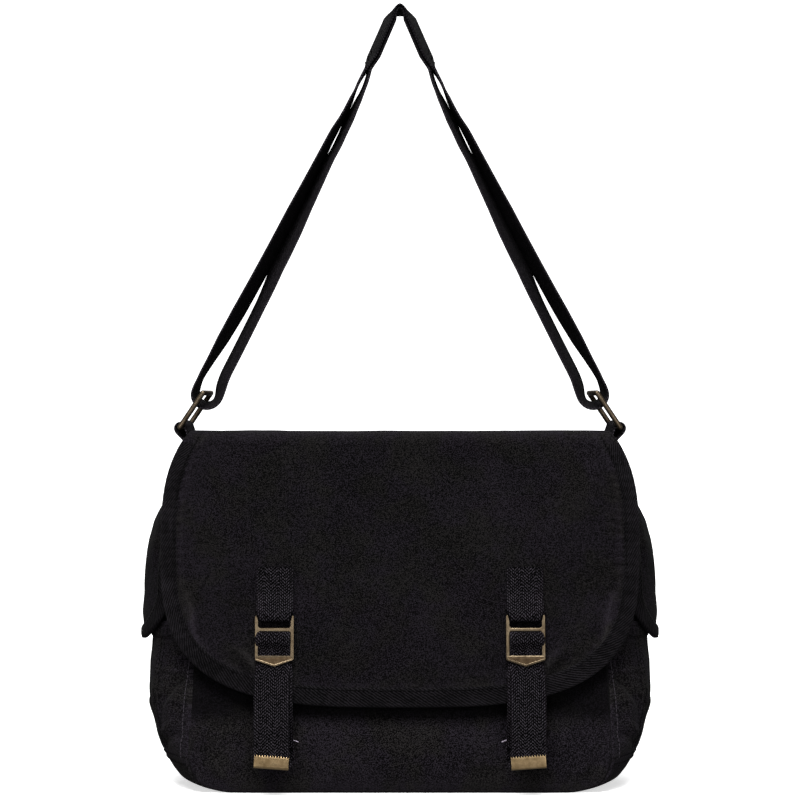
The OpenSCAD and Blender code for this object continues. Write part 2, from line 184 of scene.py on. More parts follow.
def value_noise(x, y, size, seed):
    """Smooth noise from -1 to 1 with bumps about size across."""
    n = 97
    grid = np.random.default_rng(seed).uniform(-1, 1, (n, n))
    gx, gy = np.asarray(x) / size + 40.37, np.asarray(y) / size + 40.71
    ix, iy = np.floor(gx).astype(int), np.floor(gy).astype(int)
    fx, fy = gx - ix, gy - iy
    fx, fy = fx * fx * (3 - 2 * fx), fy * fy * (3 - 2 * fy)
    a, b = grid[ix % n, iy % n], grid[(ix + 1) % n, iy % n]
    c, d = grid[ix % n, (iy + 1) % n], grid[(ix + 1) % n, (iy + 1) % n]
    return (a * (1 - fx) + b * fx) * (1 - fy) + (c * (1 - fx) + d * fx) * fy


def ripples(x, y, size, seed, octaves=3):
    """Layers of noise, each half the size and half the height of the one before."""
    return sum(value_noise(x, y, size / 2**k, seed + k) / 2**k for k in range(octaves))


def crease(x, y, a, b, width, depth):
    """A soft ridge along the line from a to b, fading towards its ends."""
    a, b = np.array(a, float), np.array(b, float)
    run = b - a
    length = np.linalg.norm(run)
    along = ((x - a[0]) * run[0] + (y - a[1]) * run[1]) / length**2
    across = ((x - a[0]) * run[1] - (y - a[1]) * run[0]) / length
    t = np.clip(along, 0, 1)
    over = (along - t) * length
    fade = np.sin(np.pi * np.clip(0.12 + 0.76 * t, 0, 1)) * np.exp(-((over / width) ** 2))
    wander = 0.35 * width * np.sin(along * 7 + a[0])
    return depth * fade * np.exp(-(((across + wander) / width) ** 2))


def creases(x, y, rows):
    """The sum of creases. A row holds x and y of both ends, the width and the depth."""
    return sum(crease(x, y, row[:2], row[2:4], *row[4:]) for row in rows)


def smooth(t):
    t = np.clip(t, 0, 1)
    return t * t * (3 - 2 * t)


# ---- The body's surface ----

def toe(z):
    """How far the body has rounded in towards the ground, 0 at TOE_Z and 1 on the ground."""
    return np.maximum(0, (TOE_Z - z) / TOE_Z) ** 2.5


def crest(z):
    """Half width of the body at the crest of its gussets."""
    low = BODY_HALF_W - 30 * ((WIDEST_Z - z) / WIDEST_Z) ** 2 - 20 * toe(z)
    high = BODY_HALF_W - 37 * ((z - WIDEST_Z) / 180) ** 2
    return np.where(z < WIDEST_Z, low, high)


def panel_w(z):
    """Half width of the front and back panels."""
    low = PANEL_HALF_W - 12 * ((CORNER_Z - z) / CORNER_Z) ** 2 - 18 * toe(z)
    return np.where(z < CORNER_Z, low, PANEL_HALF_W - 0.05 * (z - CORNER_Z))


def depth(z):
    """Half depth of the body at its corners."""
    low = BASE_HALF_D - 6 * (np.maximum(0, DEEP_Z - z) / DEEP_Z) ** 3
    high = BASE_HALF_D - DEPTH_TAPER * (np.maximum(0, z - DEEP_Z) / 202) ** 1.5
    return np.where(z < DEEP_Z, low, high)


def belly(u, z):
    """How far a panel bulges, u from -1 to 1 across it."""
    return PANEL_BULGE * (1 - u * u) * np.sin(np.pi * z / BODY_H)


def seam_dip(distance, reach=3.0, drop=1.6):
    """Cloth turns in towards a seam over the last few millimetres."""
    return -drop * np.clip(1 - distance / reach, 0, 1) ** 2


PANEL_CREASES = (
    (143, 49, 139, 17, 3.2, 1.7),
    (149, 51, 145, 18, 3.0, -1.3),
    (126, 8, 148, 30, 4.0, 0.9),
)


def panel_relief(x, z):
    """Softness of the front and back panels, outwards."""
    loose = 1.1 * ripples(x, z, 70, 11) + 0.25 * ripples(x, z, 18, 21, 2)
    marks = creases(np.abs(x), z, PANEL_CREASES)
    pull = 0.35 * np.sin(x / 2.1 + 2 * value_noise(x, z, 20, 5)) * np.exp(-z / 9)
    calm = smooth(z / 10)
    return loose * calm + marks + pull * calm


def panel_point(x, z, off=0.0):
    """Point of the front panel at x and height z, off outwards."""
    w = panel_w(z)
    u = x / w
    edge = np.minimum(w - np.abs(x), 1.6 * z + 1.2)
    y = -depth(z) - belly(u, z) - panel_relief(x, z) - seam_dip(edge) - off
    return together(x, y, z)


GUSSET_CREASES = (
    (-47, 74, -40, 57, 3.5, 2.2),
    (-30, 84, -18, 58, 4.5, 2.0),
    (-51, 85, -33, 67, 2.8, -3.2),
    (-34, 69, -31, 54, 2.8, -2.6),
    (-50, 52, -22, 38, 3.6, 2.0),
    (-52, 45, -28, 33, 3.0, -1.8),
    (44, 87, 18, 51, 5.0, 1.4),
    (-44, 109, -38, 141, 4.0, -1.2),
    (-46, 89, -25, 87, 1.6, 1.8),
    (-26, 122, -26, 32, 1.6, -1.3),
)


def gusset_relief(y, z):
    """Softness of a gusset, outwards."""
    loose = 1.3 * ripples(y, z, 46, 31) + 0.35 * ripples(y, z, 14, 34, 2)
    marks = creases(y, z, GUSSET_CREASES)
    marks += 0.35 * np.sin(y * 2.6) * np.exp(-(((z - 96) / 6) ** 2)) * smooth((-y - 22) / 8)
    return loose * smooth(z / 14) + marks


def gusset_point(y, z, off=0.0):
    """Point of the right gusset at depth y and height z, off outwards."""
    d = depth(z)
    k = y / d
    w = panel_w(z)
    x = w + (crest(z) - w) * (1 - k * k)
    inside = np.clip(1 - np.abs(k), 0, 1)
    calm = smooth(inside * 7) * smooth(z / 10)
    x = x + gusset_relief(y, z) * calm + seam_dip(d * inside, 3, 1.5) + off
    return together(x, y, z)


# ---- The flap's surface ----

# Lengths along the flap, from its back edge.
TOP_LEN = FLAP_BACK_Y - FLAP_FOLD_Y
FOLD_SWEEP = math.pi / 2 - FLAP_LEAN
FOLD_LEN = FOLD_R * FOLD_SWEEP
FRONT_START_Z = FLAP_Z - FOLD_R + FOLD_R * math.cos(FOLD_SWEEP)
MID_TOP = TOP_LEN / 2
SPLIT_T = TOP_LEN + FOLD_LEN / 2


def flap_line(t, off):
    """(y, z) on the flap's middle line, t from its back edge, off outwards."""
    t = np.asarray(t, float)
    k = np.clip(1 - t / TOP_LEN, 0, 2)
    a = np.clip((t - TOP_LEN) / FOLD_LEN, 0, 1) * FOLD_SWEEP
    run = np.maximum(0, t - TOP_LEN - FOLD_LEN)
    y_top = FLAP_BACK_Y - t
    z_top = FLAP_Z - 6 * k**3 + off
    y_fold = FLAP_FOLD_Y - (FOLD_R + off) * np.sin(a) - run * math.sin(FLAP_LEAN)
    z_fold = FLAP_Z - FOLD_R + (FOLD_R + off) * np.cos(a) - run * math.cos(FLAP_LEAN)
    top = t < TOP_LEN
    return np.where(top, y_top, y_fold), np.where(top, z_top, z_fold)


def t_of_z(z):
    """How far down the flap a height on its front is."""
    return TOP_LEN + FOLD_LEN + (FRONT_START_Z - z) / math.cos(FLAP_LEAN)


def flap_w(t):
    """Half width of the flap along its length."""
    z = flap_line(t, 0)[1]
    top = FLAP_HALF_W - 20 - 5 * (1 - np.clip(t / TOP_LEN, 0, 1))
    taper = np.clip((z - FLAP_ROUND_Z) / (FLAP_Z - FLAP_ROUND_Z), 0, 1)
    return np.where(t < TOP_LEN, top, FLAP_HALF_W - 20 * taper**3)


ROUND_T = t_of_z(FLAP_ROUND_Z)
EDGE_T = t_of_z(FLAP_LOW_Z)


def flap_edge_t(x, inset=0.0):
    """How far down the flap's lower edge is at x."""
    u = np.clip(np.abs(x) / (FLAP_HALF_W - inset), 0, 1)
    drop = (1 - u**FLAP_CORNER_N) ** (1 / FLAP_CORNER_N)
    return ROUND_T + (EDGE_T - inset - ROUND_T) * drop


def flap_edge_distance(x, t):
    """Roughly how far a point of the flap is inside its edge."""
    n, drop = FLAP_CORNER_N, EDGE_T - ROUND_T
    low_x = np.clip(np.abs(x) / FLAP_HALF_W, 1e-4, 1.2)
    low_t = np.clip((t - ROUND_T) / drop, 0, 1.2)
    radius = (low_x**n + low_t**n) ** (1 / n)
    slope = radius ** (1 - n) * np.hypot(low_x ** (n - 1) / FLAP_HALF_W, low_t ** (n - 1) / drop)
    return np.where(t > ROUND_T, (1 - radius) / slope, flap_w(t) - np.abs(x))


# Creases of the flap's right half, with heights in place of the way down the flap.
FLAP_CREASES = (
    (121, 108, 100, 90, 4.0, 2.2),
    (126, 101, 104, 84, 3.4, -1.9),
    (112, 94, 101, 80, 3.0, 1.3),
    (157, 149, 144, 100, 3.4, 1.8),
    (152, 147, 139, 98, 3.6, -1.5),
    (70, 141, 64, 91, 9.0, 0.9),
    (30, 171, 12, 86, 16.0, 1.0),
    (150, 253, 138, 206, 6.0, 0.9),
)
FLAP_RUBBED = (
    (157, 149, 146, 103, 2.4, 1.1),
    (118, 109, 100, 91, 2.4, 0.7),
)


def flap_creases(x, t, rows):
    """Creases on both halves of the flap."""
    down = [(a, t_of_z(b), c, t_of_z(d), *rest) for a, b, c, d, *rest in rows]
    return creases(np.abs(x), t, down)


def flap_relief(x, t):
    """Softness of the flap, outwards. Everything sewn on the flap follows it."""
    side = np.abs(x)
    edge = flap_edge_distance(x, t)
    loose = 1.3 * ripples(x, t, 85, 51) + 0.4 * ripples(x, t, 30, 61, 2)
    loose += 0.12 * ripples(x, t, 9, 71, 2)
    marks = flap_creases(x, t, FLAP_CREASES)
    ring = np.where(t > ROUND_T, np.arctan2(t - ROUND_T, side) * 120, t)
    pucker = 0.42 * np.sin(ring / 0.95 + 5 * value_noise(ring, edge, 24, 7))
    pucker *= np.exp(-(np.maximum(0, edge - TAPE_W + 1) / 8) ** 2) * smooth((t - SPLIT_T) / 30)
    droop = -1.6 * smooth(1 - edge / 15) * smooth((t - ROUND_T) / 60)
    calm = smooth(t / 20) * (1 - 0.85 * np.exp(-(((t - SPLIT_T + 4) / 24) ** 2)))
    return loose * calm + marks + pucker + droop


def flap_point(x, t, off=0.0):
    """Point of the flap: x across it, t along it, off outwards."""
    y, z = flap_line(t, off + flap_relief(x, t))
    return together(x, y, z)


# ---- Side flaps ----

def ear_gap(z):
    """How far the side flap's middle stands off the gusset."""
    high = 14 - 11.4 * ((z - EAR_FULL_Z) / (EAR_HIGH_Z - EAR_FULL_Z)) ** 2
    low = 14 - 7.5 * (np.maximum(0, EAR_FULL_Z - z) / 71) ** 1.2
    return np.where(z > EAR_FULL_Z, high, low)


def ear_low(s):
    """Height of the side flap's round lower edge, s from -1 to 1 across it."""
    return EAR_LOW_Z + EAR_ROUND_H * (1 - np.sqrt(1 - (0.985 * s) ** 2))


EAR_CREASES = (
    (-22, 213, -30, 151, 6, 1.6),
    (8, 216, 4, 141, 7, -1.2),
)


def ear_point(y, z, off=0.0):
    """Point of the right side flap at depth y and height z, off outwards."""
    fall = 1 + 17 * smooth((EAR_HIGH_Z - z) / 42) + 5 * (EAR_HIGH_Z - z) / 88
    soft = 0.9 * ripples(y, z, 34, 81) + 0.25 * ripples(y, z, 11, 85, 2)
    soft = soft + creases(y, z, EAR_CREASES)
    calm = smooth((EAR_HIGH_Z - z) / 24)
    x = crest(z) + ear_gap(z) - fall * (y / EAR_HALF_D) ** 2 + soft * calm + off
    return together(x, y, z)


def ear_half(z):
    return np.minimum(EAR_HALF_D, depth(z) - 3)


# ---- Meshes ----

def add_object(name, data):
    obj = bpy.data.objects.new(name, data)
    bpy.context.scene.collection.objects.link(obj)
    return obj


def thicken(obj, thickness, offset=-1):
    """Makes a sheet solid: offset -1 adds the thickness behind it, and 0 on both sides."""
    solid = obj.modifiers.new("thickness", "SOLIDIFY")
    solid.thickness, solid.offset = thickness * MM, offset


def round_edges(obj, width, segments):
    bevel = obj.modifiers.new("rounded", "BEVEL")
    bevel.width, bevel.segments, bevel.limit_method = width * MM, segments, "ANGLE"


def put(obj, body, slot, *nodes):
    """Rides obj on its body and lets it stand for its CAD nodes; slot is not used."""
    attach(obj, body)
    stand(obj, slot, *nodes)


def stand(obj, slot, *nodes):
    for node in nodes:
        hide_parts(node)


def mesh_object(name, points, faces, material, uv=None, wear=None):
    """A mesh from points in millimetres. uv is in millimetres too, one pair per point."""
    mesh = bpy.data.meshes.new(name)
    mesh.from_pydata((np.asarray(points) * MM).tolist(), [], [list(map(int, f)) for f in faces])
    if uv is not None:
        layer = mesh.uv_layers.new(name="cloth")
        loops = np.empty(len(mesh.loops), int)
        mesh.loops.foreach_get("vertex_index", loops)
        layer.data.foreach_set("uv", (np.asarray(uv)[loops] * MM).ravel())
    if wear is not None:
        mesh.attributes.new("wear", "FLOAT", "POINT").data.foreach_set(
            "value", np.asarray(wear, float).ravel()
        )
    mesh.polygons.foreach_set("use_smooth", [True] * len(mesh.polygons))
    mesh.update()
    mesh.materials.append(material)
    return add_object(name, mesh)


def grid_faces(rows, cols, flip=False, ring=False):
    """Quads of a grid of points, row by row. ring joins the last column to the first."""
    i = np.arange(cols if ring else cols - 1)
    j = np.arange(rows - 1)[:, None]
    a, b = j * cols + i, j * cols + (i + 1) % cols
    quads = np.stack([a, a + cols, b + cols, b], -1).reshape(-1, 4)
    return quads[:, ::-1] if flip else quads


def cloth(name, points, uv, material, thickness=CANVAS_T, flip=False, wear=None, ring=False):
    """A sheet of cloth from a grid of points on its outer face; its thickness goes inwards."""
    rows, cols = points.shape[:2]
    wear = np.zeros(rows * cols) if wear is None else wear
    faces = grid_faces(rows, cols, flip, ring)
    obj = mesh_object(name, points.reshape(-1, 3), faces, material, uv.reshape(-1, 2), wear)
    thicken(obj, thickness)
    return obj


def mirrored(obj, name):
    """A copy of obj on the other side of the bag.

    Only a sheet's thickness keeps its settings. Other modifiers get Blender's own, so the left
    buckle and strap tip come out coarser than the right ones."""
    mesh = obj.data.copy()
    points = np.empty(len(mesh.vertices) * 3)
    mesh.vertices.foreach_get("co", points)
    points[0::3] *= -1
    mesh.vertices.foreach_set("co", points)
    mesh.flip_normals()
    mesh.update()
    copy = add_object(name, mesh)
    for old in obj.modifiers:
        new = copy.modifiers.new(old.name, old.type)
        if old.type == "SOLIDIFY":
            new.thickness, new.offset = old.thickness, old.offset
    return copy


def band(name, path, across, out, widths, thickness, material, wear=0.25):
    """Webbing: a flat strip with rounded edges that follows path.

    path, across and out are one row per station: places, directions over the width, and directions
    of the outer face. widths may change along it."""
    path, across, out = (np.asarray(v, float) for v in (path, across, out))
    n = len(path)
    widths = np.broadcast_to(widths, n)
    cols = 28
    a = np.arange(cols) / cols * TAU
    flat_x = np.sign(np.cos(a)) * np.abs(np.cos(a)) ** 0.35
    flat_y = np.sign(np.sin(a)) * np.abs(np.sin(a)) ** 0.7
    pts = (
        path[:, None]
        + across[:, None] * (flat_x[None, :, None] * widths[:, None, None] / 2)
        + out[:, None] * flat_y[None, :, None] * thickness / 2
    )
    uv = together(flat_x * widths[:, None] / 2, run_length(path)[:, None])
    quads = grid_faces(n, cols, flip=True, ring=True)
    caps = [list(range(cols)), [(n - 1) * cols + k for k in range(cols - 1, -1, -1)]]
    edge_wear = np.broadcast_to(wear * np.abs(flat_x[None, :]) ** 12, (n, cols))
    faces = [list(q) for q in quads] + caps
    return mesh_object(name, pts.reshape(-1, 3), faces, material, uv.reshape(-1, 2), edge_wear)


def thread_line(points, outward):
    """A line of stitches, whose threads lie on the side that outward points to."""
    return points, np.tile(outward, (len(points), 1))


def stitches(name, lines, material, pitch, length, radius):
    """Thread along each line of (points, outward directions): short raised stitches."""
    points, faces = [], []
    rings, sides = 5, 6
    a = np.arange(sides) / sides * TAU
    for number, (line, outward) in enumerate(lines):
        line, outward = np.asarray(line, float), np.asarray(outward, float)
        spots = resample(line, pitch)
        tangent = unit(np.gradient(spots, axis=0))
        lengths = run_length(line)
        at = np.linspace(0, lengths[-1], len(spots))
        out = unit(along_line(at, lengths, outward))
        jitter = np.random.default_rng(number + len(lines)).uniform(-1, 1, (len(spots), 2))
        for spot, go, up, shake in zip(spots, tangent, out, jitter):
            over = np.cross(go, up)
            go = unit(go + 0.06 * shake[0] * over)
            base = len(points)
            for r in range(rings):
                s = r / (rings - 1) * 2 - 1
                fat = radius * math.sqrt(max(0.03, 1 - s**4))
                mid = spot + go * s * length * (0.5 + 0.03 * shake[1])
                mid = mid + up * radius * (0.5 - 0.7 * s * s)
                for angle in a:
                    points.append(mid + over * fat * math.cos(angle) + up * fat * math.sin(angle))
            for r in range(rings - 1):
                for k in range(sides):
                    p, q = base + r * sides + k, base + r * sides + (k + 1) % sides
                    faces.append([p, q, q + sides, p + sides])
            faces.append([base + k for k in range(sides - 1, -1, -1)])
            faces.append([base + (rings - 1) * sides + k for k in range(sides)])
    return mesh_object(name, points, faces, material)


# ---- Materials ----

class Shader:
    """A node material with short calls for its nodes."""

    def __init__(self, name):
        self.material = bpy.data.materials.new(name)
        self.material.use_nodes = True
        self.tree = self.material.node_tree
        self.surface = self.tree.nodes["Principled BSDF"]

    def node(self, kind, inputs=None, **settings):
        new = self.tree.nodes.new(kind)
        for key, value in settings.items():
            setattr(new, key, value)
        for key, value in (inputs or {}).items():
            self.set(new.inputs[key], value)
        return new

    def set(self, socket, value):
        if isinstance(value, bpy.types.NodeSocket):
            self.tree.links.new(value, socket)
        else:
            socket.default_value = value

    def math(self, operation, *values):
        new = self.tree.nodes.new("ShaderNodeMath")
        new.operation = operation
        for socket, value in zip(new.inputs, values):
            self.set(socket, value)
        return new.outputs[0]

    def mul(self, a, b):
        return self.math("MULTIPLY", a, b)

    def add(self, a, b):
        return self.math("ADD", a, b)

    def mad(self, a, b, c):
        """a times b, plus c."""
        return self.math("MULTIPLY_ADD", a, b, c)

    def sine(self, a):
        return self.math("SINE", a)

    def uv_mm(self):
        """The cloth's own coordinates in millimetres: across and along."""
        uv = self.node("ShaderNodeUVMap", uv_map="cloth").outputs[0]
        parts = self.node("ShaderNodeSeparateXYZ", {0: uv})
        return [self.mul(parts.outputs[k], 1000.0) for k in (0, 1)]

    def wear(self):
        """How rubbed the cloth is, from the mesh."""
        return self.node("ShaderNodeAttribute", attribute_name="wear").outputs["Fac"]

    def wobble(self, place, scale, detail, reach):
        """Noise from -reach to reach, for threads that don't run quite straight."""
        return self.mad(self.noise(place, scale, detail), 2 * reach, -reach)

    def place(self, x, y, z=0.0):
        return self.node("ShaderNodeCombineXYZ", {0: x, 1: y, 2: z}).outputs[0]

    def noise(self, place, scale, detail=2.0, rough=0.5):
        return self.node(
            "ShaderNodeTexNoise",
            {"Vector": place, "Scale": scale, "Detail": detail, "Roughness": rough},
        ).outputs[0]

    def ramp(self, value, low, high):
        return self.node(
            "ShaderNodeMapRange",
            {"Value": value, "From Min": low, "From Max": high, "To Min": 0.0, "To Max": 1.0},
            interpolation_type="SMOOTHSTEP",
        ).outputs[0]

    def mix(self, factor, a, b, blend="MIX"):
        new = self.node("ShaderNodeMix", data_type="RGBA", blend_type=blend)
        self.set(new.inputs[0], factor)
        self.set(new.inputs[6], a)
        self.set(new.inputs[7], b)
        return new.outputs[2]

    def bump(self, height, distance, strength=1.0, under=None):
        inputs = {"Height": height, "Distance": distance, "Strength": strength}
        if under is not None:
            inputs["Normal"] = under
        return self.node("ShaderNodeBump", inputs).outputs[0]

    def finish(self, color, roughness, normal=None, **more):
        self.set(self.surface.inputs["Base Color"], color)
        self.set(self.surface.inputs["Roughness"], roughness)
        if normal is not None:
            self.set(self.surface.inputs["Normal"], normal)
        for key, value in more.items():
            self.set(self.surface.inputs[key.replace("_", " ")], value)
        return self.material


def grey(value, tint=(1.03, 0.90, 1.09)):
    """A dark grey with the faint purple of faded black dye."""
    return tuple(value * t for t in tint) + (1.0,)


def canvas_material(name, dark=0.0004, light=0.0112, worn=0.017, thread=0.62, flap_shade_band=None):
    """Washed plain-weave cotton: uneven black, slubs, paler where it is rubbed.

    The last argument gives the heights along the cloth between which it turns from washed out to
    darker: painted shade where the flap's shadow falls."""
    s = Shader(name)
    u, v = s.uv_mm()
    wobble = s.mul(s.noise(s.place(u, v), 0.09, 3.0), 3.0)
    across = s.sine(s.mul(s.add(u, wobble), TAU / (2 * thread)))
    along = s.sine(s.mul(s.add(v, wobble), TAU / (2 * thread)))
    weave = s.mad(s.mul(across, along), 0.5, 0.5)
    slub_v = s.noise(s.place(s.mul(u, 1.9), s.mul(v, 0.3)), 1.0, 2.0)
    slub_u = s.noise(s.place(s.mul(u, 0.3), s.mul(v, 1.9), 7.0), 1.0, 2.0)
    slub = s.add(slub_u, slub_v)
    wash = s.noise(s.place(u, v, 3.0), 0.018, 3.0, 0.6)
    fleck = s.noise(s.place(u, v, 11.0), 1.25, 1.0, 0.7)
    tone = s.mul(s.ramp(wash, 0.32, 0.72), 0.42)
    tone = s.add(tone, s.mad(fleck, 8.0, -4.12))
    tone = s.add(tone, s.mad(slub, 2.0, -2.0))
    tone = s.mad(weave, 0.35, tone)
    body = s.mix(s.math("MAXIMUM", s.mad(tone, 0.9, 0.16), 0.0), grey(dark), grey(light))
    rub = s.mul(s.wear(), s.ramp(s.add(fleck, s.mul(weave, 0.3)), 0.35, 0.8))
    hue = s.ramp(s.noise(s.place(u, v, 23.0), 0.035, 3.0, 0.6), 0.42, 0.62)
    cast = s.mix(hue, (1.03, 0.99, 1.08, 1.0), (0.99, 1.03, 0.86, 1.0))
    color = s.mix(1.0, s.mix(rub, body, grey(worn)), cast, "MULTIPLY")
    # Painted shade: above these heights the colour is mixed most of the way to the darkest grey,
    # standing in for the flap's shadow on the front panel.
    if flap_shade_band is not None:
        color = s.mix(s.mul(s.ramp(v, *flap_shade_band), 0.75), color, grey(dark))
    coarse = s.bump(slub, 0.00025, 0.7)
    fine = s.bump(weave, 0.00022, 0.8, coarse)
    return s.finish(color, 0.95, fine, Sheen_Weight=0.012, Sheen_Roughness=0.5,
                    Specular_IOR_Level=0.045)


def webbing_material(name, dark, light, column=5.2, pitch=2.3, worn=0.03, yarn=1.45):
    """Woven webbing: slanted seeds of yarn in columns whose slant turns back and forth."""
    s = Shader(name)
    u, v = s.uv_mm()
    wobble = s.wobble(s.place(u, v, 5.0), 0.5, 2.0, 0.65)
    turn = s.math("PINGPONG", s.add(u, 200.0), column)
    rib = s.sine(s.mul(s.add(s.add(v, turn), wobble), TAU / pitch))
    ends = s.math("COSINE", s.mul(s.add(u, wobble), TAU / yarn))
    seed = s.mul(s.mad(rib, 0.5, 0.5), s.mad(ends, 0.36, 0.64))
    fleck = s.noise(s.place(u, v, 2.0), 0.8, 2.0, 0.7)
    tone = s.add(seed, s.mad(fleck, 1.4, -0.7))
    body = s.mix(s.ramp(tone, 0.18, 1.22), grey(dark), grey(light))
    color = s.mix(s.mul(s.wear(), fleck), body, grey(worn))
    return s.finish(color, 0.9, s.bump(seed, 0.0005, 0.9), Sheen_Weight=0.004,
                    Sheen_Roughness=0.4, Specular_IOR_Level=0.03)


def tape_material(name, dark, light, pitch=1.75, worn=0.024):
    """Twill tape: fine slanted lines along it."""
    s = Shader(name)
    u, v = s.uv_mm()
    wobble = s.wobble(s.place(u, v, 5.0), 0.3, 3.0, 0.8)
    slant = s.math("SUBTRACT", s.mul(u, 0.86), s.mul(v, 0.5))
    rib = s.sine(s.mul(s.add(slant, wobble), TAU / pitch))
    cross = s.sine(s.mul(v, TAU / 1.1))
    height = s.mad(rib, 0.36, s.mad(cross, 0.10, 0.5))
    fleck = s.noise(s.place(u, v, 2.0), 0.8, 2.0, 0.7)
    wash = s.noise(s.place(u, v, 9.0), 0.06, 2.0)
    tone = s.add(height, s.mad(fleck, 1.3, -0.65))
    tone = s.add(tone, s.mad(wash, 0.8, -0.4))
    body = s.mix(s.ramp(tone, 0.25, 0.98), grey(dark), grey(light))
    color = s.mix(s.mul(s.wear(), fleck), body, grey(worn))
    return s.finish(color, 0.88, s.bump(height, 0.00035, 0.9), Sheen_Weight=0.015,
                    Sheen_Roughness=0.4, Specular_IOR_Level=0.06)


def thread_material(name, value):
    s = Shader(name)
    place = s.node("ShaderNodeTexCoord").outputs["Object"]
    twist = s.noise(place, 900.0, 2.0)
    color = s.mix(twist, grey(value * 0.6), grey(value * 1.4))
    return s.finish(color, 0.7, s.bump(twist, 0.0001, 0.6), Specular_IOR_Level=0.06)


def brass_material(name, dark, bright, rough=0.36):
    """Antique brass: brown patina, rubbed bright in patches, and brighter along its edges, partly
    rubbed and partly a painted highlight.
    """
    s = Shader(name)
    place = s.node("ShaderNodeTexCoord").outputs["Object"]
    cloud = s.noise(place, 160.0, 4.0, 0.65)
    grain = s.noise(place, 1500.0, 2.0, 0.6)
    # Brighter colour on sharp edges: partly rubbed brass, partly a painted highlight where edges
    # catch the light.
    edge = s.ramp(s.node("ShaderNodeNewGeometry").outputs["Pointiness"], 0.5, 0.56)
    rub_and_edge_highlight = s.add(s.ramp(cloud, 0.2, 0.72), s.mul(edge, 0.9))
    rub_and_edge_highlight = s.math("MINIMUM", s.mad(grain, 0.3, s.math("SUBTRACT", rub_and_edge_highlight, 0.15)), 1.0)
    color = s.mix(rub_and_edge_highlight, dark + (1.0,), bright + (1.0,))
    roughness = s.mad(rub_and_edge_highlight, -0.14, rough + 0.14)
    dents = s.bump(cloud, 0.0004, 0.35, s.bump(grain, 0.00008, 0.5))
    return s.finish(color, roughness, dents, Metallic=1.0)


CANVAS = canvas_material("washed_canvas")
CANVAS_EAR = canvas_material("washed_canvas_side_flap", dark=0.0003, light=0.0125)
# Panel canvas: a lighter copy of the flap's canvas, painted light that makes up for the panels
# catching less lamp light than the flap.
CANVAS_PANEL_PAINTED_LIGHTER = canvas_material("washed_canvas_panel_painted_lighter", dark=0.0006, light=0.0195)
# Front panel canvas: the same lighter copy as the panels, with painted shade under the flap that
# fades out just below its lower edge.
CANVAS_FRONT_PAINTED_LIGHT_AND_SHADE = canvas_material("washed_canvas_front_painted_light_and_shade", dark=0.0006, light=0.0195, flap_shade_band=(46.0, 64.0))
LINING = canvas_material("lining_cloth", dark=0.007, light=0.020, worn=0.03, thread=0.4)
WEBBING = webbing_material("closure_webbing", 0.0003, 0.056)
# Shoulder webbing: lightened overall and in its darkest tone, painted light standing in for bounce
# light on the strap's shaded runs.
STRAP_WEB = webbing_material("shoulder_webbing", 0.0015, 0.0430, 4.75, 2.2)
# Crown webbing: a darker copy of the shoulder webbing, painted shade that keeps the crown dark under
# the top lamp.
CROWN_WEB_PAINTED_DARKER = webbing_material("crown_webbing_painted_darker", 0.0004, 0.0170, 4.75, 2.2, 0.012)
TAPE = tape_material("binding_tape", 0.0001, 0.0105)
THREAD = thread_material("black_thread", 0.0012)
PALE_THREAD = thread_material("faded_thread", 0.05)
LIGHT_THREAD = thread_material("light_thread", 0.5)
BRASS = brass_material("antique_brass", (0.085, 0.060, 0.036), (0.215, 0.165, 0.105))
DARK_BRASS = brass_material("antique_brass_worn_dark", (0.050, 0.031, 0.017),
                            (0.130, 0.088, 0.050), 0.5)
TIP_BRASS = brass_material("antique_brass_tip", (0.150, 0.100, 0.048), (0.350, 0.250, 0.135), 0.34)
BRONZE = brass_material("antique_bronze", (0.022, 0.015, 0.010), (0.150, 0.115, 0.078), 0.4)


# ---- Pieces of the body ----

def seam_wear(distance, width=4.0):
    """How rubbed the cloth is at a distance from a seam."""
    return 0.7 * np.exp(-((distance / width) ** 2))


def make_panel(name, node, shift, back):
    """The front or back panel. shift moves its softness sideways, so that the two differ."""
    v, u = grid(150, 190)
    z = 1.0 + (BODY_H - 1.0) * (1 - v) ** 1.25
    w = panel_w(z)
    x = (2 * u - 1) * w
    pts = panel_point(x + shift, z)
    pts[..., 0] = x
    wear = 0.5 * seam_wear(w - np.abs(x)) + seam_wear(z - 5, 5)
    uv = together(x + shift, z)
    if back:
        pts[..., 0] *= -1
        pts[..., 1] *= -1
    obj = cloth(name, pts, uv, CANVAS_PANEL_PAINTED_LIGHTER if back else CANVAS_FRONT_PAINTED_LIGHT_AND_SHADE, wear=wear)
    put(obj, "bag", "canvas", node)


SHARED_BODIES = ("bag", "flap_front_half", "shoulder_strap")


def side_name(base, side):
    return base + ("_left" if side < 0 else "_right")


def pair_of(obj, base):
    """The mirrored copy of a right-hand piece and the piece itself, each with its side."""
    return [(mirrored(obj, side_name(base, -1)), -1), (obj, 1)]


def place_pair(obj, base, body, slot, *nodes):
    """Places a right-hand piece and its mirrored copy.

    A body that both sides share keeps its name; the others have one on each side."""
    pair = pair_of(obj, base)
    for piece, side in pair:
        ending = "" if body in SHARED_BODIES else "_l" if side < 0 else "_r"
        put(piece, body + ending, slot, *(side_name(node, side) for node in nodes))
    return [piece for piece, _ in pair]


def stitch_pair(base, lines, pitch, length, radius, thread=THREAD, body="bag"):
    """Lines of stitches on the right and their mirrored copy."""
    obj = stitches(side_name(base, 1), lines, thread, pitch, length, radius)
    place_pair(obj, base, body, "webbing")


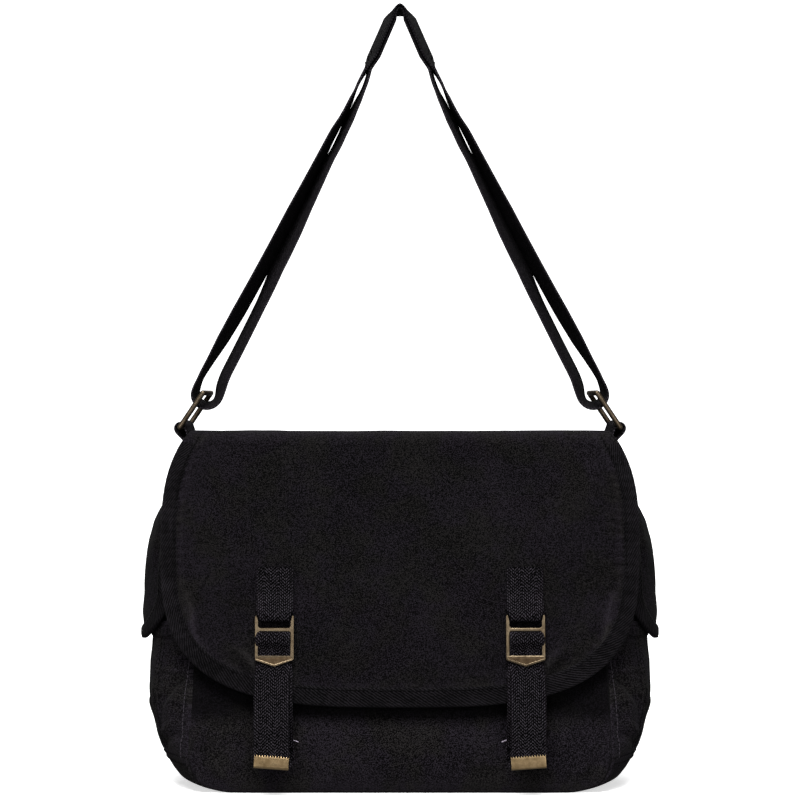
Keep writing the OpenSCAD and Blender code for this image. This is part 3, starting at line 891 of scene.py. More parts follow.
def side_cloth(base, z_high, z_low, off, rows, wear_at, *nodes):
    """A pair of cloths over the gussets between two heights, rubbed at the heights wear_at."""
    v, u = grid(rows, 110)
    z = z_high + (z_low - z_high) * v
    y = (2 * u - 1) * (depth(z) - SEAM_IN)
    pts = gusset_point(y, z, off(z) if callable(off) else off)
    wear = 0.5 * seam_wear(depth(z) - np.abs(y), 3.0)
    for height in wear_at:
        wear = wear + seam_wear(z - height, 3.0)
    obj = cloth(side_name(base, 1), pts, together(y, z), CANVAS_PANEL_PAINTED_LIGHTER, wear=wear)
    place_pair(obj, base, "bag", "canvas", *nodes)


def behind_pocket(z):
    """How far the gusset's cloth steps back where the pocket lies on it."""
    return -1.2 * smooth((POCKET_HEM_Z + 1.5 - z) / 2.5)


def make_gussets():
    z_low, hem_z = BASE_WRAP_H + 1.2, POCKET_HEM_Z - HEM_W
    side_cloth("gusset_cloth", BODY_H, BASE_WRAP_H + 0.2, behind_pocket, 190, (BASE_WRAP_H + 2,),
               "gusset")
    side_cloth("pocket_cloth", POCKET_HEM_Z, z_low, 0.3, 90, (POCKET_HEM_Z, hem_z, z_low),
               "side_pocket")
    side_cloth("pocket_hem_cloth", POCKET_HEM_Z + 0.6, hem_z, 1.1, 20, (POCKET_HEM_Z,))
    lines = []
    for height, off in ((POCKET_HEM_Z - 10.5, 1.2), (POCKET_HEM_Z - 2.5, 1.2),
                        (BASE_WRAP_H + 1.0, 0.5), (BASE_WRAP_H - 3.5, 1.1)):
        y = np.linspace(-0.95, 0.95, 160) * depth(np.array(height))
        lines.append(thread_line(gusset_point(y, np.array(height), off), RIGHT))
    for y_line in (-31.0, -26.5):
        z = np.linspace(BASE_WRAP_H + 6, POCKET_HEM_Z - 13, 60)
        lines.append(thread_line(gusset_point(y_line + 0 * z, z, 0.4), RIGHT))
    stitch_pair("pocket_stitches", lines, 3.2, 2.5, 0.4)

    # The seams that join the gusset to the panels.
    z = np.linspace(14, 200, 160)
    k = np.minimum(0.985, 0.86 + 0.125 * (z - 14) / 96)
    lines = [thread_line(gusset_point(side * k * depth(z), z, 0.3), (0.6, side * 0.8, 0))
             for side in (-1, 1)]
    stitch_pair("side_seam_stitches", lines, 3.2, 2.7, 0.26, PALE_THREAD)


def make_base():
    """The base wraps up the lower corners: two corner cloths and the flat bottom, one piece."""
    v, u = grid(46, 100)
    z = BASE_WRAP_H * (1 - v) ** 1.3 + 0.9
    y = (2 * u - 1) * (depth(z) - SEAM_IN)
    corner = gusset_point(y, z, 0.9)
    s = np.linspace(0, 1, 90)[:, None]
    edge = corner[-1]
    ease = 0.9 * np.exp(-((1 - np.abs(1 - 2 * s)) * edge[:, 0] / 4))
    across = together(edge[:, 0] * (1 - 2 * s), edge[:, 1], ease)
    far = corner[::-1] * np.array([-1, 1, 1])
    pts = np.concatenate([corner, across[1:-1], far])
    uv = together(pts[..., 1], run_length(pts[:, 50])[:, None])
    wear = 0.5 * np.exp(-((pts[..., 2] - 3) / 5) ** 2) + seam_wear(pts[..., 2] - BASE_WRAP_H, 3)
    put(cloth("base_cloth", pts, uv, CANVAS_PANEL_PAINTED_LIGHTER, wear=wear), "bag", "canvas", "base_panel")


def body_outline(z, inset, count=240):
    """Points round the body at height z, from its front left corner."""
    n = count // 4
    w, c, d = panel_w(z) - inset, crest(z) - inset, depth(z) - inset
    u = np.linspace(-1, 1, n, endpoint=False)
    front = together(u * w, -d - belly(u, z))
    right = together(w + (c - w) * (1 - u * u), u * d)
    return np.concatenate([front, right, -front, -right])


def make_mouth():
    """Tape folded over the rim all round, and the lining hanging inside it."""
    ring = []
    tops = [(-0.9, -9), (-1.0, -4), (-0.9, -0.6), (-0.2, 0.7), (1.2, 1.3), (2.7, 0.7),
            (3.3, -0.6), (3.5, -4), (3.5, -9)]
    for inset, rise in tops:
        outline = body_outline(np.array(BODY_H + min(rise, 0.0)), inset)
        ring.append(np.column_stack([outline, np.full(len(outline), BODY_H + rise)]))
    pts = np.array(ring)
    around = np.cumsum(np.linalg.norm(np.diff(pts[0], axis=0, append=pts[0][:1]), axis=1))
    uv = together(run_length(pts[:, 0])[:, None], around)
    obj = cloth("mouth_tape", pts, uv, TAPE, 0.6, True, np.full(pts.shape[:2], 0.15), ring=True)
    put(obj, "bag", "tape", "mouth_binding")

    levels = np.concatenate([np.linspace(BODY_H - 4, 6, 90), np.full(12, 4.5)])
    shrink = np.concatenate([np.zeros(90), np.linspace(0.06, 0.98, 12)])
    rings = []
    for z, k in zip(levels, shrink):
        outline = body_outline(np.array(z), 3.2) * (1 - k)
        wave = 0.9 * value_noise(np.arange(len(outline)) * 4.0, z, 30, 91) * (1 - k)
        outline = outline * (1 - wave[:, None] / 150)
        rings.append(np.column_stack([outline, np.full(len(outline), z)]))
    pts = np.array(rings)
    uv = together(np.arange(pts.shape[1]) * 4.0, levels[:, None])
    put(cloth("lining_bag", pts, uv, LINING, 0.5, ring=True), "bag", "lining", "bag_lining")


# ---- Side flaps ----

def make_ears():
    v, u = grid(110, 100)
    s = np.sin(np.pi / 2 * (2 * u - 1) * 0.999)
    z = EAR_HIGH_Z + (ear_low(s) + 0.8 - EAR_HIGH_Z) * v
    y = s * ear_half(z)
    pts = ear_point(y, z)
    wear = 0.25 * np.exp(-((z - EAR_LOW_Z) / 30) ** 2) + seam_wear(ear_half(z) - np.abs(y), 4)
    obj = cloth("side_flap_cloth_right", pts, together(y, z), CANVAS_EAR, EAR_T, wear=wear)
    ears = place_pair(obj, "side_flap_cloth", "side_flap", "canvas", "side_flap")

    # The tape runs down one side, round the lower edge and up the other side.
    k = np.linspace(-1, 1, 220)
    turn = np.abs(k) < 0.5
    s = np.where(turn, np.sin(np.pi * k), np.sign(k))
    corner_z = ear_low(1.0)
    side_z = corner_z + (EAR_HIGH_Z - 2 - corner_z) * (np.abs(k) - 0.5) * 2
    z = np.where(turn, ear_low(np.clip(s, -1, 1)), side_z)
    y = s * ear_half(z)
    go = heading(y, z)
    roll = 1 + 0.45 * np.exp(-((k / 0.2) ** 2))

    def inside(d, off):
        return ear_point(y - go[:, 1] * d, z + go[:, 0] * d, off)

    profile = tape_profile(width=8.0, half=1.7)
    rows = [inside(d, -0.75 + off * roll) for d, off in profile]
    tape = tape_object("side_flap_tape_right", rows, profile)
    place_pair(tape, "side_flap_tape", "side_flap", "tape", "side_flap_binding")
    lines = [thread_line(inside(6.3, 0.9 * roll + 0.35), RIGHT)]
    stitch_pair("side_flap_stitches", lines, 3.2, 2.4, 0.26, body="side_flap")


def tape_profile(width, half):
    """Section of tape folded over an edge: (distance in from the edge, height off the middle)."""
    flat = [(width, half - 0.75), (width - 0.3, half - 0.1), (width * 0.75, half + 0.15),
            (width * 0.5, half + 0.2), (width * 0.25, half + 0.2), (1.2, half)]
    angles = np.linspace(0.3, math.pi - 0.3, 7)
    bend = [(-half * math.sin(a) * 0.55, half * math.cos(a)) for a in angles]
    return flat + bend + [(d, -h) for d, h in reversed(flat)]


def tape_object(name, rows, profile):
    """Tape over an edge, from a row of points along it for each point of its section."""
    pts = np.array(rows).transpose(1, 0, 2)
    across = run_length(np.array(profile))
    across -= across[-1] / 2
    along = run_length(pts[:, len(profile) // 2])[:, None]
    wear = 0.35 * np.exp(-((across / 3.0) ** 2)) + 0 * along
    return cloth(name, pts, together(across, along), TAPE, 0.5, True, wear)


# ---- Flap ----

def blend_back(obj, slot, *nodes):
    """A piece of the flap's back half: its placement is baked into its mesh, and it stands for its
    CAD nodes.
    """
    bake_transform(obj)
    stand(obj, slot, *nodes)


def blend_front(obj, slot, *nodes):
    """A piece of the flap's front half: its placement is baked into its mesh, and it stands for its
    CAD nodes.
    """
    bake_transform(obj)
    stand(obj, slot, *nodes)


def flap_cloth(name, t_low, t_high, off, inset, material, thickness, rows, cols):
    """The flap's cloth from t_low to t_high, or to its lower edge where t_high is None."""
    v, u = grid(rows, cols)
    s = np.sin(np.pi / 2 * (2 * u - 1) * 0.9995)
    if t_high is None:
        end = flap_edge_t(s * (FLAP_HALF_W - inset), inset)
        t = t_low + (end - t_low) * v
    else:
        t = t_low + (t_high - t_low) * v
    x = s * (flap_w(t) - inset)
    pts = flap_point(x, t, off)
    edge = flap_edge_distance(x, t)
    wear = 0.3 * np.exp(-(((edge - TAPE_W - 1.5) / 2.5) ** 2))
    wear += 0.3 * np.exp(-(((t - SPLIT_T) / 5) ** 2))
    wear = np.clip(wear + flap_creases(x, t, FLAP_RUBBED), 0, 1)
    return cloth(name, pts, together(x, -t), material, thickness, wear=wear)


def tape_reach(inward):
    """The tape is set a little narrower up the flap's sides than along its lower edge."""
    return 0.86 + 0.19 * np.clip(-inward[:, 1], 0, 1)


def flap_tape(name, x, t, inward):
    """Tape over the flap's edge, along edge points (x, t) with directions into the flap."""
    profile = tape_profile(TAPE_W, half=2.2)
    reach = tape_reach(inward)
    full = 0.5 + 0.5 * smooth((t - SPLIT_T) / 30)
    go_x, go_t = inward.T * reach
    rows = [flap_point(x + go_x * d, t + go_t * d, -1.3 + off * full) for d, off in profile]
    return tape_object(name, rows, profile)


def flap_edge_path(t_start, count=900):
    """Edge points (x, t) of the flap's front half: left side, round the bottom, right side."""
    straight = np.linspace(t_start, ROUND_T, 160, endpoint=False)
    a = np.linspace(0, math.pi, count)
    c, s = np.cos(a), np.sin(a)
    round_x = -FLAP_HALF_W * np.sign(c) * np.abs(c) ** (2 / FLAP_CORNER_N)
    round_t = ROUND_T + (EDGE_T - ROUND_T) * np.abs(s) ** (2 / FLAP_CORNER_N)
    x = np.concatenate([-flap_w(straight), round_x, flap_w(straight)[::-1]])
    t = np.concatenate([straight, round_t, straight[::-1]])
    flat = resample(np.column_stack([x, t, 0 * x]), 1.6)
    x, t = flat[:, 0], flat[:, 1]
    go = heading(x, t)
    return x, t, together(go[:, 1], -go[:, 0])


def make_flap():
    outer = (0.0, SEAM_IN, CANVAS, CANVAS_T)
    inner = (LINING_OFF, LINING_IN, LINING, LINING_T)
    back = flap_cloth("flap_back_cloth", 0.6, MID_TOP, *outer, 40, 200)
    front = flap_cloth("flap_front_cloth", MID_TOP, None, *outer, 196, 250)
    back_lining = flap_cloth("flap_back_lining", 2.0, MID_TOP, *inner, 24, 120)
    front_lining = flap_cloth("flap_front_lining", MID_TOP, None, *inner, 130, 180)
    blend_back(back, "canvas", "flap_top")
    blend_back(back_lining, "lining", "flap_lining_top")
    blend_front(front, "canvas", "flap_front")
    blend_front(front_lining, "lining", "flap_lining_front")

    x, t, inward = flap_edge_path(MID_TOP)
    blend_front(flap_tape("flap_front_tape", x, t, inward), "tape", "flap_binding_front")
    t_back = np.linspace(0.8, MID_TOP, 40)
    right = flap_tape("flap_back_tape_right", flap_w(t_back), t_back, np.tile([-1.0, 0.0], (40, 1)))
    right.data.flip_normals()
    for obj in (right, mirrored(right, "flap_back_tape_left")):
        blend_back(obj, "tape", "flap_binding_top")

    sewn = TAPE_W * tape_reach(inward) - 1.9
    inner_x, inner_t = x + inward[:, 0] * sewn, t + inward[:, 1] * sewn
    on_front = inner_t > SPLIT_T + 3
    inner_x, inner_t = inner_x[on_front], inner_t[on_front]
    line = flap_point(inner_x, inner_t, 1.05)
    lift = unit(flap_point(inner_x, inner_t, 2.0) - flap_point(inner_x, inner_t, 0.0))
    # Black stitches made thick and close: real thread, and also painted shade standing for the dark
    # groove the stitching pulls into the tape.
    blend_front(stitches("flap_tape_stitches_and_groove_shade", [(line, lift)], THREAD, 3.1, 2.6, 0.4), "webbing")


# ---- Closures ----

# Places down the closure from its sewn top.
BAR_L = (CLOSURE_TOP_Z - BAR_Z) / math.cos(FLAP_LEAN)
CROSS_L = BAR_L + 6.8
PLATE_L = BAR_L + 25.6
SLIDE_L = BAR_L + 12.5
TAIL_L = BAR_L + 105.5
ANCHOR_L = BAR_L + 92
CLOSURE_T0 = t_of_z(CLOSURE_TOP_Z)


def closure_points(x, y, l, follow=0.0):
    """Points from the closure's frame: x across it, y off the flap, l down it.

    follow adds a share of the flap's own relief."""
    t = CLOSURE_T0 + l
    base_y, base_z = flap_line(t, y + follow * flap_relief(CLOSURE_X + x, t))
    return together(CLOSURE_X + x, base_y, base_z)


def closure_band(name, route, width, follow=0.0, skew=None):
    """Webbing along a route of (y, l) in the closure's frame. skew moves it sideways."""
    flat = resample(np.column_stack([route, np.zeros(len(route))]), 0.9)
    relax(flat, 3)
    y, l = flat[:, 0], flat[:, 1]
    go = heading(y, l)
    shift = np.zeros(len(y)) if skew is None else skew(y, l)
    path = closure_points(shift, y, l, follow)
    out = unit(closure_points(shift, y - go[:, 1], l + go[:, 0], follow) - path)
    across = np.tile(RIGHT, (len(path), 1))
    return band(name, path, across, out, width(y, l), WEB_T, WEBBING)


def make_flap_straps():
    """Webbing folded round the buckle's top bar, with both layers sewn to the flap."""
    low_y, turn = 2.3, 2.25
    a = np.radians(np.linspace(180, 0, 16))
    route = [(low_y - 0.9, 1.5), (low_y - 0.9, BAR_L - 14), (FRAME_Y - turn, BAR_L - 4)]
    route += arc((FRAME_Y, BAR_L - 1.4), turn, a)
    route += [(FRAME_Y + turn, BAR_L - 4), (low_y + 2.6, BAR_L - 13), (low_y + 0.7, BAR_L - 21),
              (low_y + 0.65, 0.0)]

    def width(_, l):
        return WEB_W - 4.2 * smooth((l - BAR_L + 8) / 7)

    obj = closure_band("flap_strap_web_right", route, width, 1.0)
    place_pair(obj, "flap_strap_web", "flap_front_half", "webbing", "flap_strap")
    half, high, low = WEB_W / 2 - 1.8, 2.2, BAR_L - 21
    box = [(-half, high), (half, high), (half, low), (-half, low), (-half, high)]
    lines = []
    for corners in (box, [(-half, high), (half, low)], [(half, high), (-half, low)]):
        flat = resample([(x, l, 0) for x, l in corners], 1.0)
        off = low_y + 0.65 + WEB_T / 2 + 0.05
        line = closure_points(flat[:, 0], off, flat[:, 1], 1.0)
        lines.append(thread_line(line, (0, -1.0, 0.12)))
    stitch_pair("flap_strap_stitches", lines, *SHORT_STITCH, body="flap_front_half")


def make_closure_straps():
    """Webbing from its sewn end up under the buckle, round the slide bar and down to the tip."""
    low_y, turn = 2.4, 2.9
    tail_y = low_y + 1.7
    turn_y = low_y + turn
    front_y = turn_y + turn
    a = np.radians(np.linspace(180, 360, 16))
    route = [(low_y - 15, ANCHOR_L), (low_y - 5.5, BAR_L + 76), (low_y, BAR_L + 62),
             (low_y, SLIDE_L)]
    route += arc((turn_y, SLIDE_L - 1), turn, a)
    route += [(front_y + 0.6, SLIDE_L + 1), (front_y, SLIDE_L + 3.8),
              (front_y - 2.4, SLIDE_L + 6.8), (tail_y + 0.5, SLIDE_L + 9.6), (tail_y, PLATE_L + 1),
              (tail_y, BAR_L + 55), (tail_y + 0.6, BAR_L + 80), (tail_y - 1.2, TAIL_L)]

    def hump(y, l):
        return np.exp(-(((l - SLIDE_L - 2) / 6) ** 2)) * (y > turn_y)

    def width(y, l):
        inside = smooth((l - BAR_L - 2) / 4) * (1 - smooth((l - PLATE_L - 4) / 8))
        return WEB_W - 0.5 - 2.6 * inside + 2.4 * hump(y, l)

    def skew(y, l):
        tail = smooth((l - PLATE_L) / 20) * (y >= low_y + 0.8)
        return 1.2 * hump(y, l) + 1.9 * tail - 0.6 * (y < low_y + 0.8)

    obj = closure_band("closure_web_right", route, width, skew=skew)
    place_pair(obj, "closure_web", "closure", "webbing", "closure_strap")


def make_tips():
    """A folded brass clip over the tail's end, with a row of teeth along its upper edge."""
    w, h, wall = WEB_W - 1.0, 9.0, 0.55
    tail_y = 4.1
    teeth = 13
    tilt = math.radians(4)
    u = np.linspace(-0.5, 0.5, teeth * 6 + 1)
    top = 1.7 * (1.0 - np.abs(((u + 0.5) * teeth) % 1 * 2 - 1))
    section = [(1.0, -1), (0.75, -1), (0.5, -1), (0.25, -1), (0.1, -0.92)]
    bend = [(0.02 - 0.1 * math.sin(k), -math.cos(k)) for k in np.linspace(0.4, math.pi - 0.4, 6)]
    levels = section + bend + [(a, -b) for a, b in reversed(section)]
    rows = []
    for level, side in levels:
        l = TAIL_L + 0.9 - level * (h - top * (level > 0.9))
        y = tail_y - side * (WEB_T / 2 + wall) * (1 - 0.12 * (2 * u) ** 8) - 1.0
        x = u * w
        lx = 1.9 + x * math.cos(tilt) + (l - TAIL_L) * math.sin(tilt)
        ll = l - x * math.sin(tilt)
        rows.append(closure_points(lx, y, ll))
    pts = np.array(rows)
    faces = grid_faces(*pts.shape[:2])
    obj = mesh_object("strap_tip_brass_right", pts.reshape(-1, 3), faces, TIP_BRASS)
    thicken(obj, wall, 0)
    round_edges(obj, 0.16, 2)
    place_pair(obj, "strap_tip_brass", "closure", "antique_brass", "strap_tip")


def metal_plate(outlines, thickness, edge):
    """Mesh of a flat piece with rounded edges. The first outline is its rim, the rest are holes."""
    curve = bpy.data.curves.new("outline", "CURVE")
    curve.dimensions = "2D"
    curve.fill_mode = "BOTH"
    curve.extrude = (thickness / 2 - edge) * MM
    curve.bevel_depth = edge * MM
    curve.bevel_resolution = 3
    curve.offset = -edge * MM
    for outline in outlines:
        spline = curve.splines.new("POLY")
        spline.points.add(len(outline) - 1)
        places = [(x * MM, -l * MM, 0.0, 1.0) for x, l in outline]
        spline.points.foreach_set("co", np.ravel(places))
        spline.use_cyclic_u = True
    holder = add_object("outline", curve)
    graph = bpy.context.evaluated_depsgraph_get()
    mesh = bpy.data.meshes.new_from_object(holder.evaluated_get(graph))
    bpy.data.objects.remove(holder)
    return mesh


def round_corners(corners, radii, steps=5):
    """A closed outline with its corners rounded."""
    points = []
    corners = [np.array(c, float) for c in corners]
    for i, (corner, r) in enumerate(zip(corners, radii)):
        before, after = corners[i - 1], corners[(i + 1) % len(corners)]
        start = corner + unit(before - corner) * r
        end = corner + unit(after - corner) * r
        for k in np.linspace(0, 1, steps):
            points.append(tuple((1 - k) ** 2 * start + 2 * k * (1 - k) * corner + k * k * end))
    return points


def on_closure(mesh, y):
    """Moves a flat mesh to the closure's frame, y off the flap, as points in millimetres."""
    points = np.empty(len(mesh.vertices) * 3)
    mesh.vertices.foreach_get("co", points)
    x, down, out = points.reshape(-1, 3).T / MM
    return closure_points(x, y + out, -down)


def make_buckles():
    """The flat brass frame: two rails, a cross bar and a pointed plate with a raised rim."""
    w, rail, bar = BUCKLE_W / 2 - 0.2, 2.5, 1.25
    inner = w - rail
    side_l, point_l = PLATE_L + 3.4, PLATE_L + 8.2
    half = [(w, side_l), (w, BAR_L - 2.4), (w - 0.5, BAR_L - 4.0), (w - 1.5, BAR_L - 3.6),
            (inner - 0.1, BAR_L + 0.6), (inner, CROSS_L - bar - 1.1), (inner - 1.2, CROSS_L - bar)]
    radii = [0.9, 0.4, 0.4, 0.4, 0.5, 0.6, 0.8]
    outline = round_corners([(0, point_l)] + half + [(-x, l) for x, l in reversed(half)],
                            [1.2] + radii + radii[::-1])
    half = [(inner - 0.9, CROSS_L + bar), (inner, CROSS_L + bar + 0.9), (inner, PLATE_L)]
    window = round_corners(half + [(-x, l) for x, l in reversed(half)], [0.5] * 6)

    def pentagon(inset):
        """Outline of the pointed plate's face, inset from its rim."""
        x = w - 0.7 - inset
        return round_corners([(0, point_l - 0.7 - 1.3 * inset), (x, side_l - 0.4 - 0.8 * inset),
                              (x, PLATE_L + 0.5 + inset), (-x, PLATE_L + 0.5 + inset),
                              (-x, side_l - 0.4 - 0.8 * inset)], [1.0, 0.3, 0.3, 0.3, 0.3])

    rails = metal_plate([outline, window], thickness=1.6, edge=0.5)
    rim = metal_plate([pentagon(0), pentagon(0.9)], thickness=0.7, edge=0.25)
    plate = metal_plate([pentagon(0.8)], thickness=0.4, edge=0.1)
    face_y = FRAME_Y + 0.8
    for base, flat, y, material, nodes in (
        ("buckle_brass", rails, FRAME_Y, BRASS, ("buckle_frame",)),
        ("buckle_rim_brass", rim, face_y, BRASS, ()),
        ("buckle_face_brass", plate, face_y, DARK_BRASS, ()),
    ):
        pts = on_closure(flat, y)
        faces = [list(p.vertices)[::-1] for p in flat.polygons]
        obj = mesh_object(side_name(base, 1), pts, faces, material)
        mend = obj.modifiers.new("joined", "WELD")
        mend.merge_threshold = 0.02 * MM
        sharp = obj.modifiers.new("smooth", "EDGE_SPLIT")
        sharp.split_angle = math.radians(40)
        place_pair(obj, base, "buckle", "antique_brass", *nodes)


def make_anchors():
    """The sewn end of each closure strap on the front panel, with a loose thread end."""
    middle = CLOSURE_X - 0.6
    z = np.linspace(40, 27, 30)
    face, out = thread_line(panel_point(middle + 0 * z, z, 1.0), FORWARD)
    obj = band("strap_anchor_web_right", face, np.tile(RIGHT, (30, 1)), out, WEB_W, WEB_T, WEBBING)
    place_pair(obj, "strap_anchor_web", "bag", "webbing", "strap_anchor")
    half = WEB_W / 2 - 1.6
    corners = [(-half, 38), (half, 38), (half, 29), (-half, 29), (-half, 38), (half, 29)]
    flat = resample([(middle + a, b, 0) for a, b in corners], 1.0)
    lines = [thread_line(panel_point(flat[:, 0], flat[:, 1], 1.9), FORWARD)]
    stitch_pair("strap_anchor_stitches", lines, *SHORT_STITCH)
    x = middle - WEB_W / 2 - np.linspace(-1.5, 2.4, 4)
    lines = [thread_line(panel_point(x, 41 + 0.4 * (x - x[0]), 1.2), FORWARD)]
    stitch_pair("thread_end", lines, 2.2, 2.4, 0.3, LIGHT_THREAD)


def dress_metal():
    """CAD metal keeps its shape: rounded edges and antique brass."""
    for node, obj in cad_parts.items():
        if not node.startswith(("buckle_slide", "ring_left", "ring_right")):
            continue
        bar = node.startswith("buckle_")
        if bar:
            round_edges(obj, 0.35, 3)
        material = BRASS if bar else BRONZE
        for place in obj.material_slots:
            place.link = "OBJECT"
            place.material = material
        if not obj.material_slots:
            obj.data.materials.append(material)


# ---- Shoulder strap, rings and tabs ----

def xz_band(name, route, width, thickness, material, twist, step=2.0):
    """Webbing on edge: a route in X and Z, its width along Y, turned by twist(k) radians."""
    flat = resample([(x, 0.0, z) for x, z in route], step)
    relax(flat, 4)
    go = unit(np.gradient(flat, axis=0))
    normal = together(go[:, 2], 0.0, -go[:, 0])
    angle = twist(np.linspace(0, 1, len(flat)))
    y_axis = np.array([0.0, 1.0, 0.0])
    c, s = np.cos(angle)[:, None], np.sin(angle)[:, None]
    across = y_axis * c + normal * s
    out = normal * c - y_axis * s
    return band(name, flat, across, out, width, thickness, material, wear=0.35)


STITCH_Y = np.linspace(-16.5, 16.5, 30)


def strap_run(side, k):
    """Middle line of a run on the right: side 1 is the outer run, and k rises from the ring."""
    z = LOOP_C[1] + (JOIN[1] - LOOP_C[1]) * k
    middle = 149.9 + (JOIN[0] - 149.9) * k - 3.4 * np.sin(np.pi * k**0.8)
    middle -= 3.4 * np.maximum(0, 1 - k * 14) ** 2
    if side > 0:
        middle -= np.interp(k, [0.80, 0.844, 0.874, 0.905, 0.936, 0.95, 0.99],
                            [0, 1.1, 1.5, 1.5, 1.1, 0.4, 0])
    else:
        middle -= np.interp(k, [0, 0.30, 0.38, 0.42, 0.505, 0.72, 0.76, 0.95, 1],
                            [0, -0.5, -1.5, -1.0, -0.7, -0.5, 0.6, 0.7, 0])
    half = 3 + (LOOP_R - 3) * np.maximum(0, 1 - k / 0.95) ** 1.38
    half = np.where(k < 0.95, half, 3 - 1.5 * (k - 0.95) / 0.05)
    return together(middle + side * half, z)


def make_strap():
    """The shoulder strap: one webbing through each ring, and a doubled crown sewn to both."""
    k = np.linspace(0, 1, 90)
    a = np.radians(np.linspace(-12, -168, 16))
    route = np.concatenate([strap_run(1, k[::-1]), arc(LOOP_C, LOOP_R, a), strap_run(-1, k)])

    def twist(q):
        places = [0, 0.016, 0.031, 0.045, 0.074, 0.09, 0.15, 0.21, 0.36, 0.40, 0.43, 0.46, 0.50]
        degrees = [-2, -4, -4, -0.5, 0.5, 2.5, 6, 9.5, 10, 8, 3.5, 0.5, 7]
        places += [0.54, 0.66, 0.70, 0.765, 0.80, 0.88, 0.911, 0.926, 0.941, 0.955, 0.97, 1]
        degrees += [15.5, 15.5, 18, 17, 14.5, 12.5, 12.2, 12.8, 11, 10, 7, 5]
        return np.radians(np.interp(q, places, degrees))

    obj = xz_band("shoulder_web_right", route, STRAP_W, STRAP_T, STRAP_WEB, twist)
    place_pair(obj, "shoulder_web", "shoulder_strap", "webbing", "shoulder_strap")

    lean = math.radians(23.8)
    tip_z = JOIN[1] + JOIN[0] / math.tan(lean)
    r = (tip_z - CROWN_Z) * math.sin(lean) / (1 - math.sin(lean))
    sweep = np.linspace(lean, math.pi - lean, 24)
    bend = [(x, z + 0.8 * math.sin(q) ** 8)
            for q, (x, z) in zip(sweep, arc((0, CROWN_Z - r), r, sweep))]
    crown = np.array([(JOIN[0] + 1.2, JOIN[1] - 3)] + bend + [(-JOIN[0] - 1.2, JOIN[1] - 3)])
    go = unit(np.gradient(crown, axis=0))
    outward = together(go[:, 1], -go[:, 0])
    turns = [0, 0.12, 0.40, 0.50, 0.60, 0.88, 1]
    degrees = [4, 13, 12.5, 0, 12.5, 13, 4]
    for name, shift in (("crown_web_1", 1.28), ("crown_web_2", -1.28)):
        layer = xz_band(name, crown + outward * shift, STRAP_W, STRAP_T, CROWN_WEB_PAINTED_DARKER,
                        lambda q: np.radians(np.interp(q, turns, degrees)), 1.0)
        put(layer, "shoulder_strap", "webbing", "shoulder_strap_crown")
    lines = []
    for side in (-1, 1):
        for height in (3.0, 8.0, 13.0):
            x = side * (JOIN[0] - height * math.tan(lean) + 3.1)
            line = together(x, STITCH_Y, JOIN[1] + height)
            lines.append(thread_line(line, (side * math.cos(lean), 0, math.sin(lean))))
    put(stitches("crown_stitches", lines, THREAD, 2.4, 2.0, 0.3), "shoulder_strap", "webbing")


def make_tabs():
    """Webbing doubled round the ring's lower bar and sewn outside the gusset."""
    direction = np.array([-math.sin(RING_LEAN), math.cos(RING_LEAN)])
    bar = RING_C - RING_HALF_L * direction
    z_low = node_box("ring_tab_right")[0][2]
    rim = float(crest(np.array(BODY_H)))
    foot = np.array([rim + 2.6, BODY_H + 2.5])
    lean = math.atan2(bar[1] - foot[1], bar[0] - foot[0])
    r = 3.6
    a = np.linspace(lean + math.pi / 2, lean - math.pi / 2, 20)
    low_x = float(crest(np.array(z_low)))
    route = [(low_x + 1.4, z_low), (rim + 1.6, BODY_H), (foot[0] - 1, foot[1])]
    route += arc(bar, r, a)
    route += [(foot[0] + 0.6, foot[1] + 2), (rim + 3.0, BODY_H), (low_x + 3.2, z_low)]

    def twist(q):
        inner = -5.0 * smooth((q - 0.25) / 0.1) * (1 - smooth((q - 0.42) / 0.12))
        outer = 8.5 * smooth((q - 0.46) / 0.12) * (1 - smooth((q - 0.68) / 0.1))
        return np.radians(inner + outer)

    obj = xz_band("ring_tab_web_right", route, 37.6, 2.0, WEBBING, twist, 0.8)
    for piece, side in pair_of(obj, "ring_tab_web"):
        low = (side * foot[0] * MM, 0, (z_low + 15) * MM)
        high = (side * bar[0] * MM, 0, (bar[1] - 3) * MM)
        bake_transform(piece)
        stand(piece, "webbing", side_name("ring_tab", side))
    low, high, off = z_low + 3, z_low + 14, 4.2
    lines = [thread_line(together(crest(z) + off, STITCH_Y, z), RIGHT) for z in (low, high)]
    z = np.linspace(low, high, 12)
    lines += [thread_line(together(crest(z) + off, y, z), RIGHT) for y in STITCH_Y[[0, -1]]]
    stitch_pair("ring_tab_stitches", lines, 2.6, 2.1, 0.28)


# ---- Stage, lights and camera, in metres ----

CAMERA_DISTANCE = 1.689
CAMERA_HEIGHT = 0.2897
PURE_WHITE = (1.0, 1.0, 1.0, 1.0)


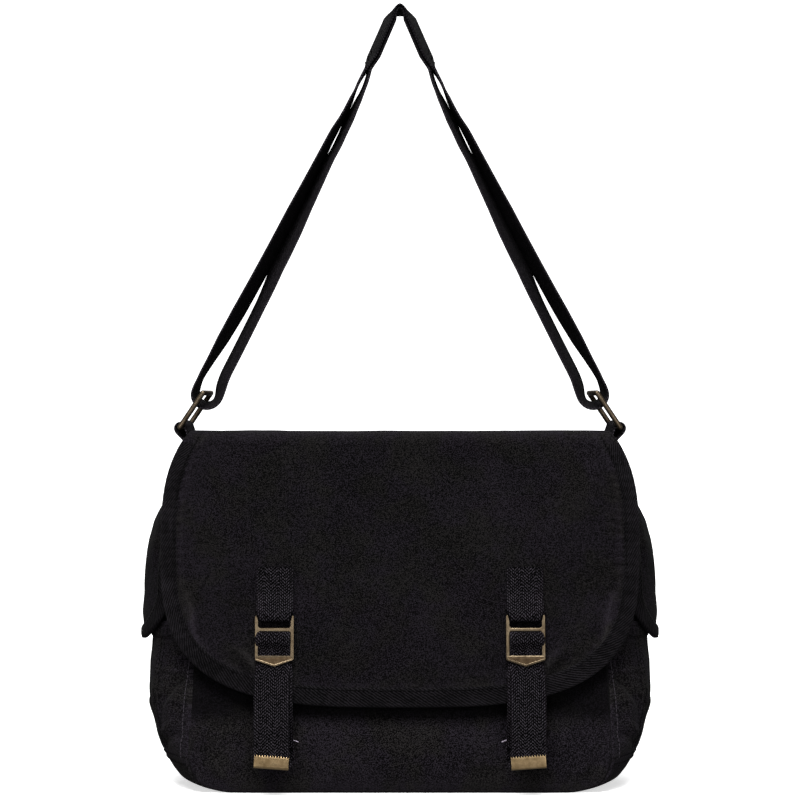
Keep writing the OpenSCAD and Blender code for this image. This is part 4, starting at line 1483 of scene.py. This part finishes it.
def make_stage():
    """A pale floor that curves up behind the bag, in a white sphere that only the camera sees."""
    mesh = bpy.data.meshes.new("floor")
    side, back, bend, top = 6.0, 2.2, 1.2, 5.0
    quarter = np.linspace(0, math.pi / 2, 24)
    rows = [(-side, 0.0), (back, 0.0)]
    rows += [(back + bend * math.sin(a), bend - bend * math.cos(a)) for a in quarter]
    rows += [(back + bend, top)]
    points = [(x, y, z) for y, z in rows for x in (-side, side)]
    faces = [(2 * i, 2 * i + 1, 2 * i + 3, 2 * i + 2) for i in range(len(rows) - 1)]
    mesh.from_pydata(points, [], faces)
    mesh.polygons.foreach_set("use_smooth", [True] * len(faces))
    floor = add_object("floor", mesh)
    s = Shader("pale_floor")
    place = s.node("ShaderNodeTexCoord").outputs["Object"]
    tone = s.mix(s.noise(place, 3.0), (0.93, 0.93, 0.93, 1), (0.95, 0.95, 0.95, 1))
    apart = s.node("ShaderNodeVectorMath", {0: place}, operation="LENGTH").outputs["Value"]
    strength = s.mad(s.ramp(apart, 1.0, 2.6), 0.5, 0.6)
    glow = {"Emission_Color": PURE_WHITE, "Emission_Strength": strength}
    floor.data.materials.append(s.finish(tone, 0.9, Specular_IOR_Level=0.0, **glow))
    floor.visible_diffuse = False
    floor.visible_glossy = False

    bpy.ops.mesh.primitive_uv_sphere_add(segments=48, ring_count=24, radius=12.0)
    surround = bpy.context.object
    surround.name = "surround"
    s = Shader("white_surround")
    glow = {"Emission_Color": PURE_WHITE, "Emission_Strength": 1.1}
    glow["Specular_IOR_Level"] = 0.0
    surround.data.materials.append(s.finish((0, 0, 0, 1), 1.0, **glow))
    for kind in ("diffuse", "glossy", "transmission", "volume_scatter", "shadow"):
        setattr(surround, "visible_" + kind, False)


def area_light(name, place, target, size, power):
    light = bpy.data.lights.new(name, "AREA")
    light.shape = "RECTANGLE"
    light.size, light.size_y = size
    light.energy = power
    obj = add_object(name, light)
    obj.location = place
    obj.rotation_euler = (Vector(target) - Vector(place)).to_track_quat("-Z", "Y").to_euler()


def make_lights():
    world = bpy.data.worlds.new("studio")
    bpy.context.scene.world = world
    world.use_nodes = True
    background = world.node_tree.nodes["Background"].inputs
    background["Color"].default_value = (1, 1, 1, 1)
    background["Strength"].default_value = 0.22
    area_light("key", (-0.12, -1.6, 2.0), (0, 0, 0.2), (1.3, 0.8), 84)
    area_light("fill_left", (-0.9, -2.2, 0.6), (0, 0, 0.1), (0.8, 1.0), 8.5)
    area_light("fill_right", (1.0, -2.2, 0.6), (0, 0, 0.1), (0.8, 1.0), 9.5)
    area_light("back", (0.0, 1.7, 1.9), (0, 0, 0.2), (1.8, 1.0), 30)


def make_camera():
    """A level long lens in front of the bag."""
    camera = bpy.data.cameras.new("camera")
    camera.lens = 100
    camera.sensor_width = 36
    camera.clip_start = 0.01
    obj = add_object("camera", camera)
    obj.location = (0.0, -CAMERA_DISTANCE, CAMERA_HEIGHT)
    obj.rotation_euler = (math.pi / 2, 0, 0)
    bpy.context.scene.camera = obj


make_camera()
make_stage()
make_lights()
make_panel("front_panel_cloth", "front_panel", 0.0, False)
make_panel("back_panel_cloth", "back_panel", 17.0, True)
make_gussets()
make_base()
make_mouth()
make_ears()
make_flap()
make_flap_straps()
make_closure_straps()
make_tips()
make_anchors()
make_buckles()
dress_metal()
make_strap()
make_tabs()
bpy.context.scene.view_settings.view_transform = "Standard"
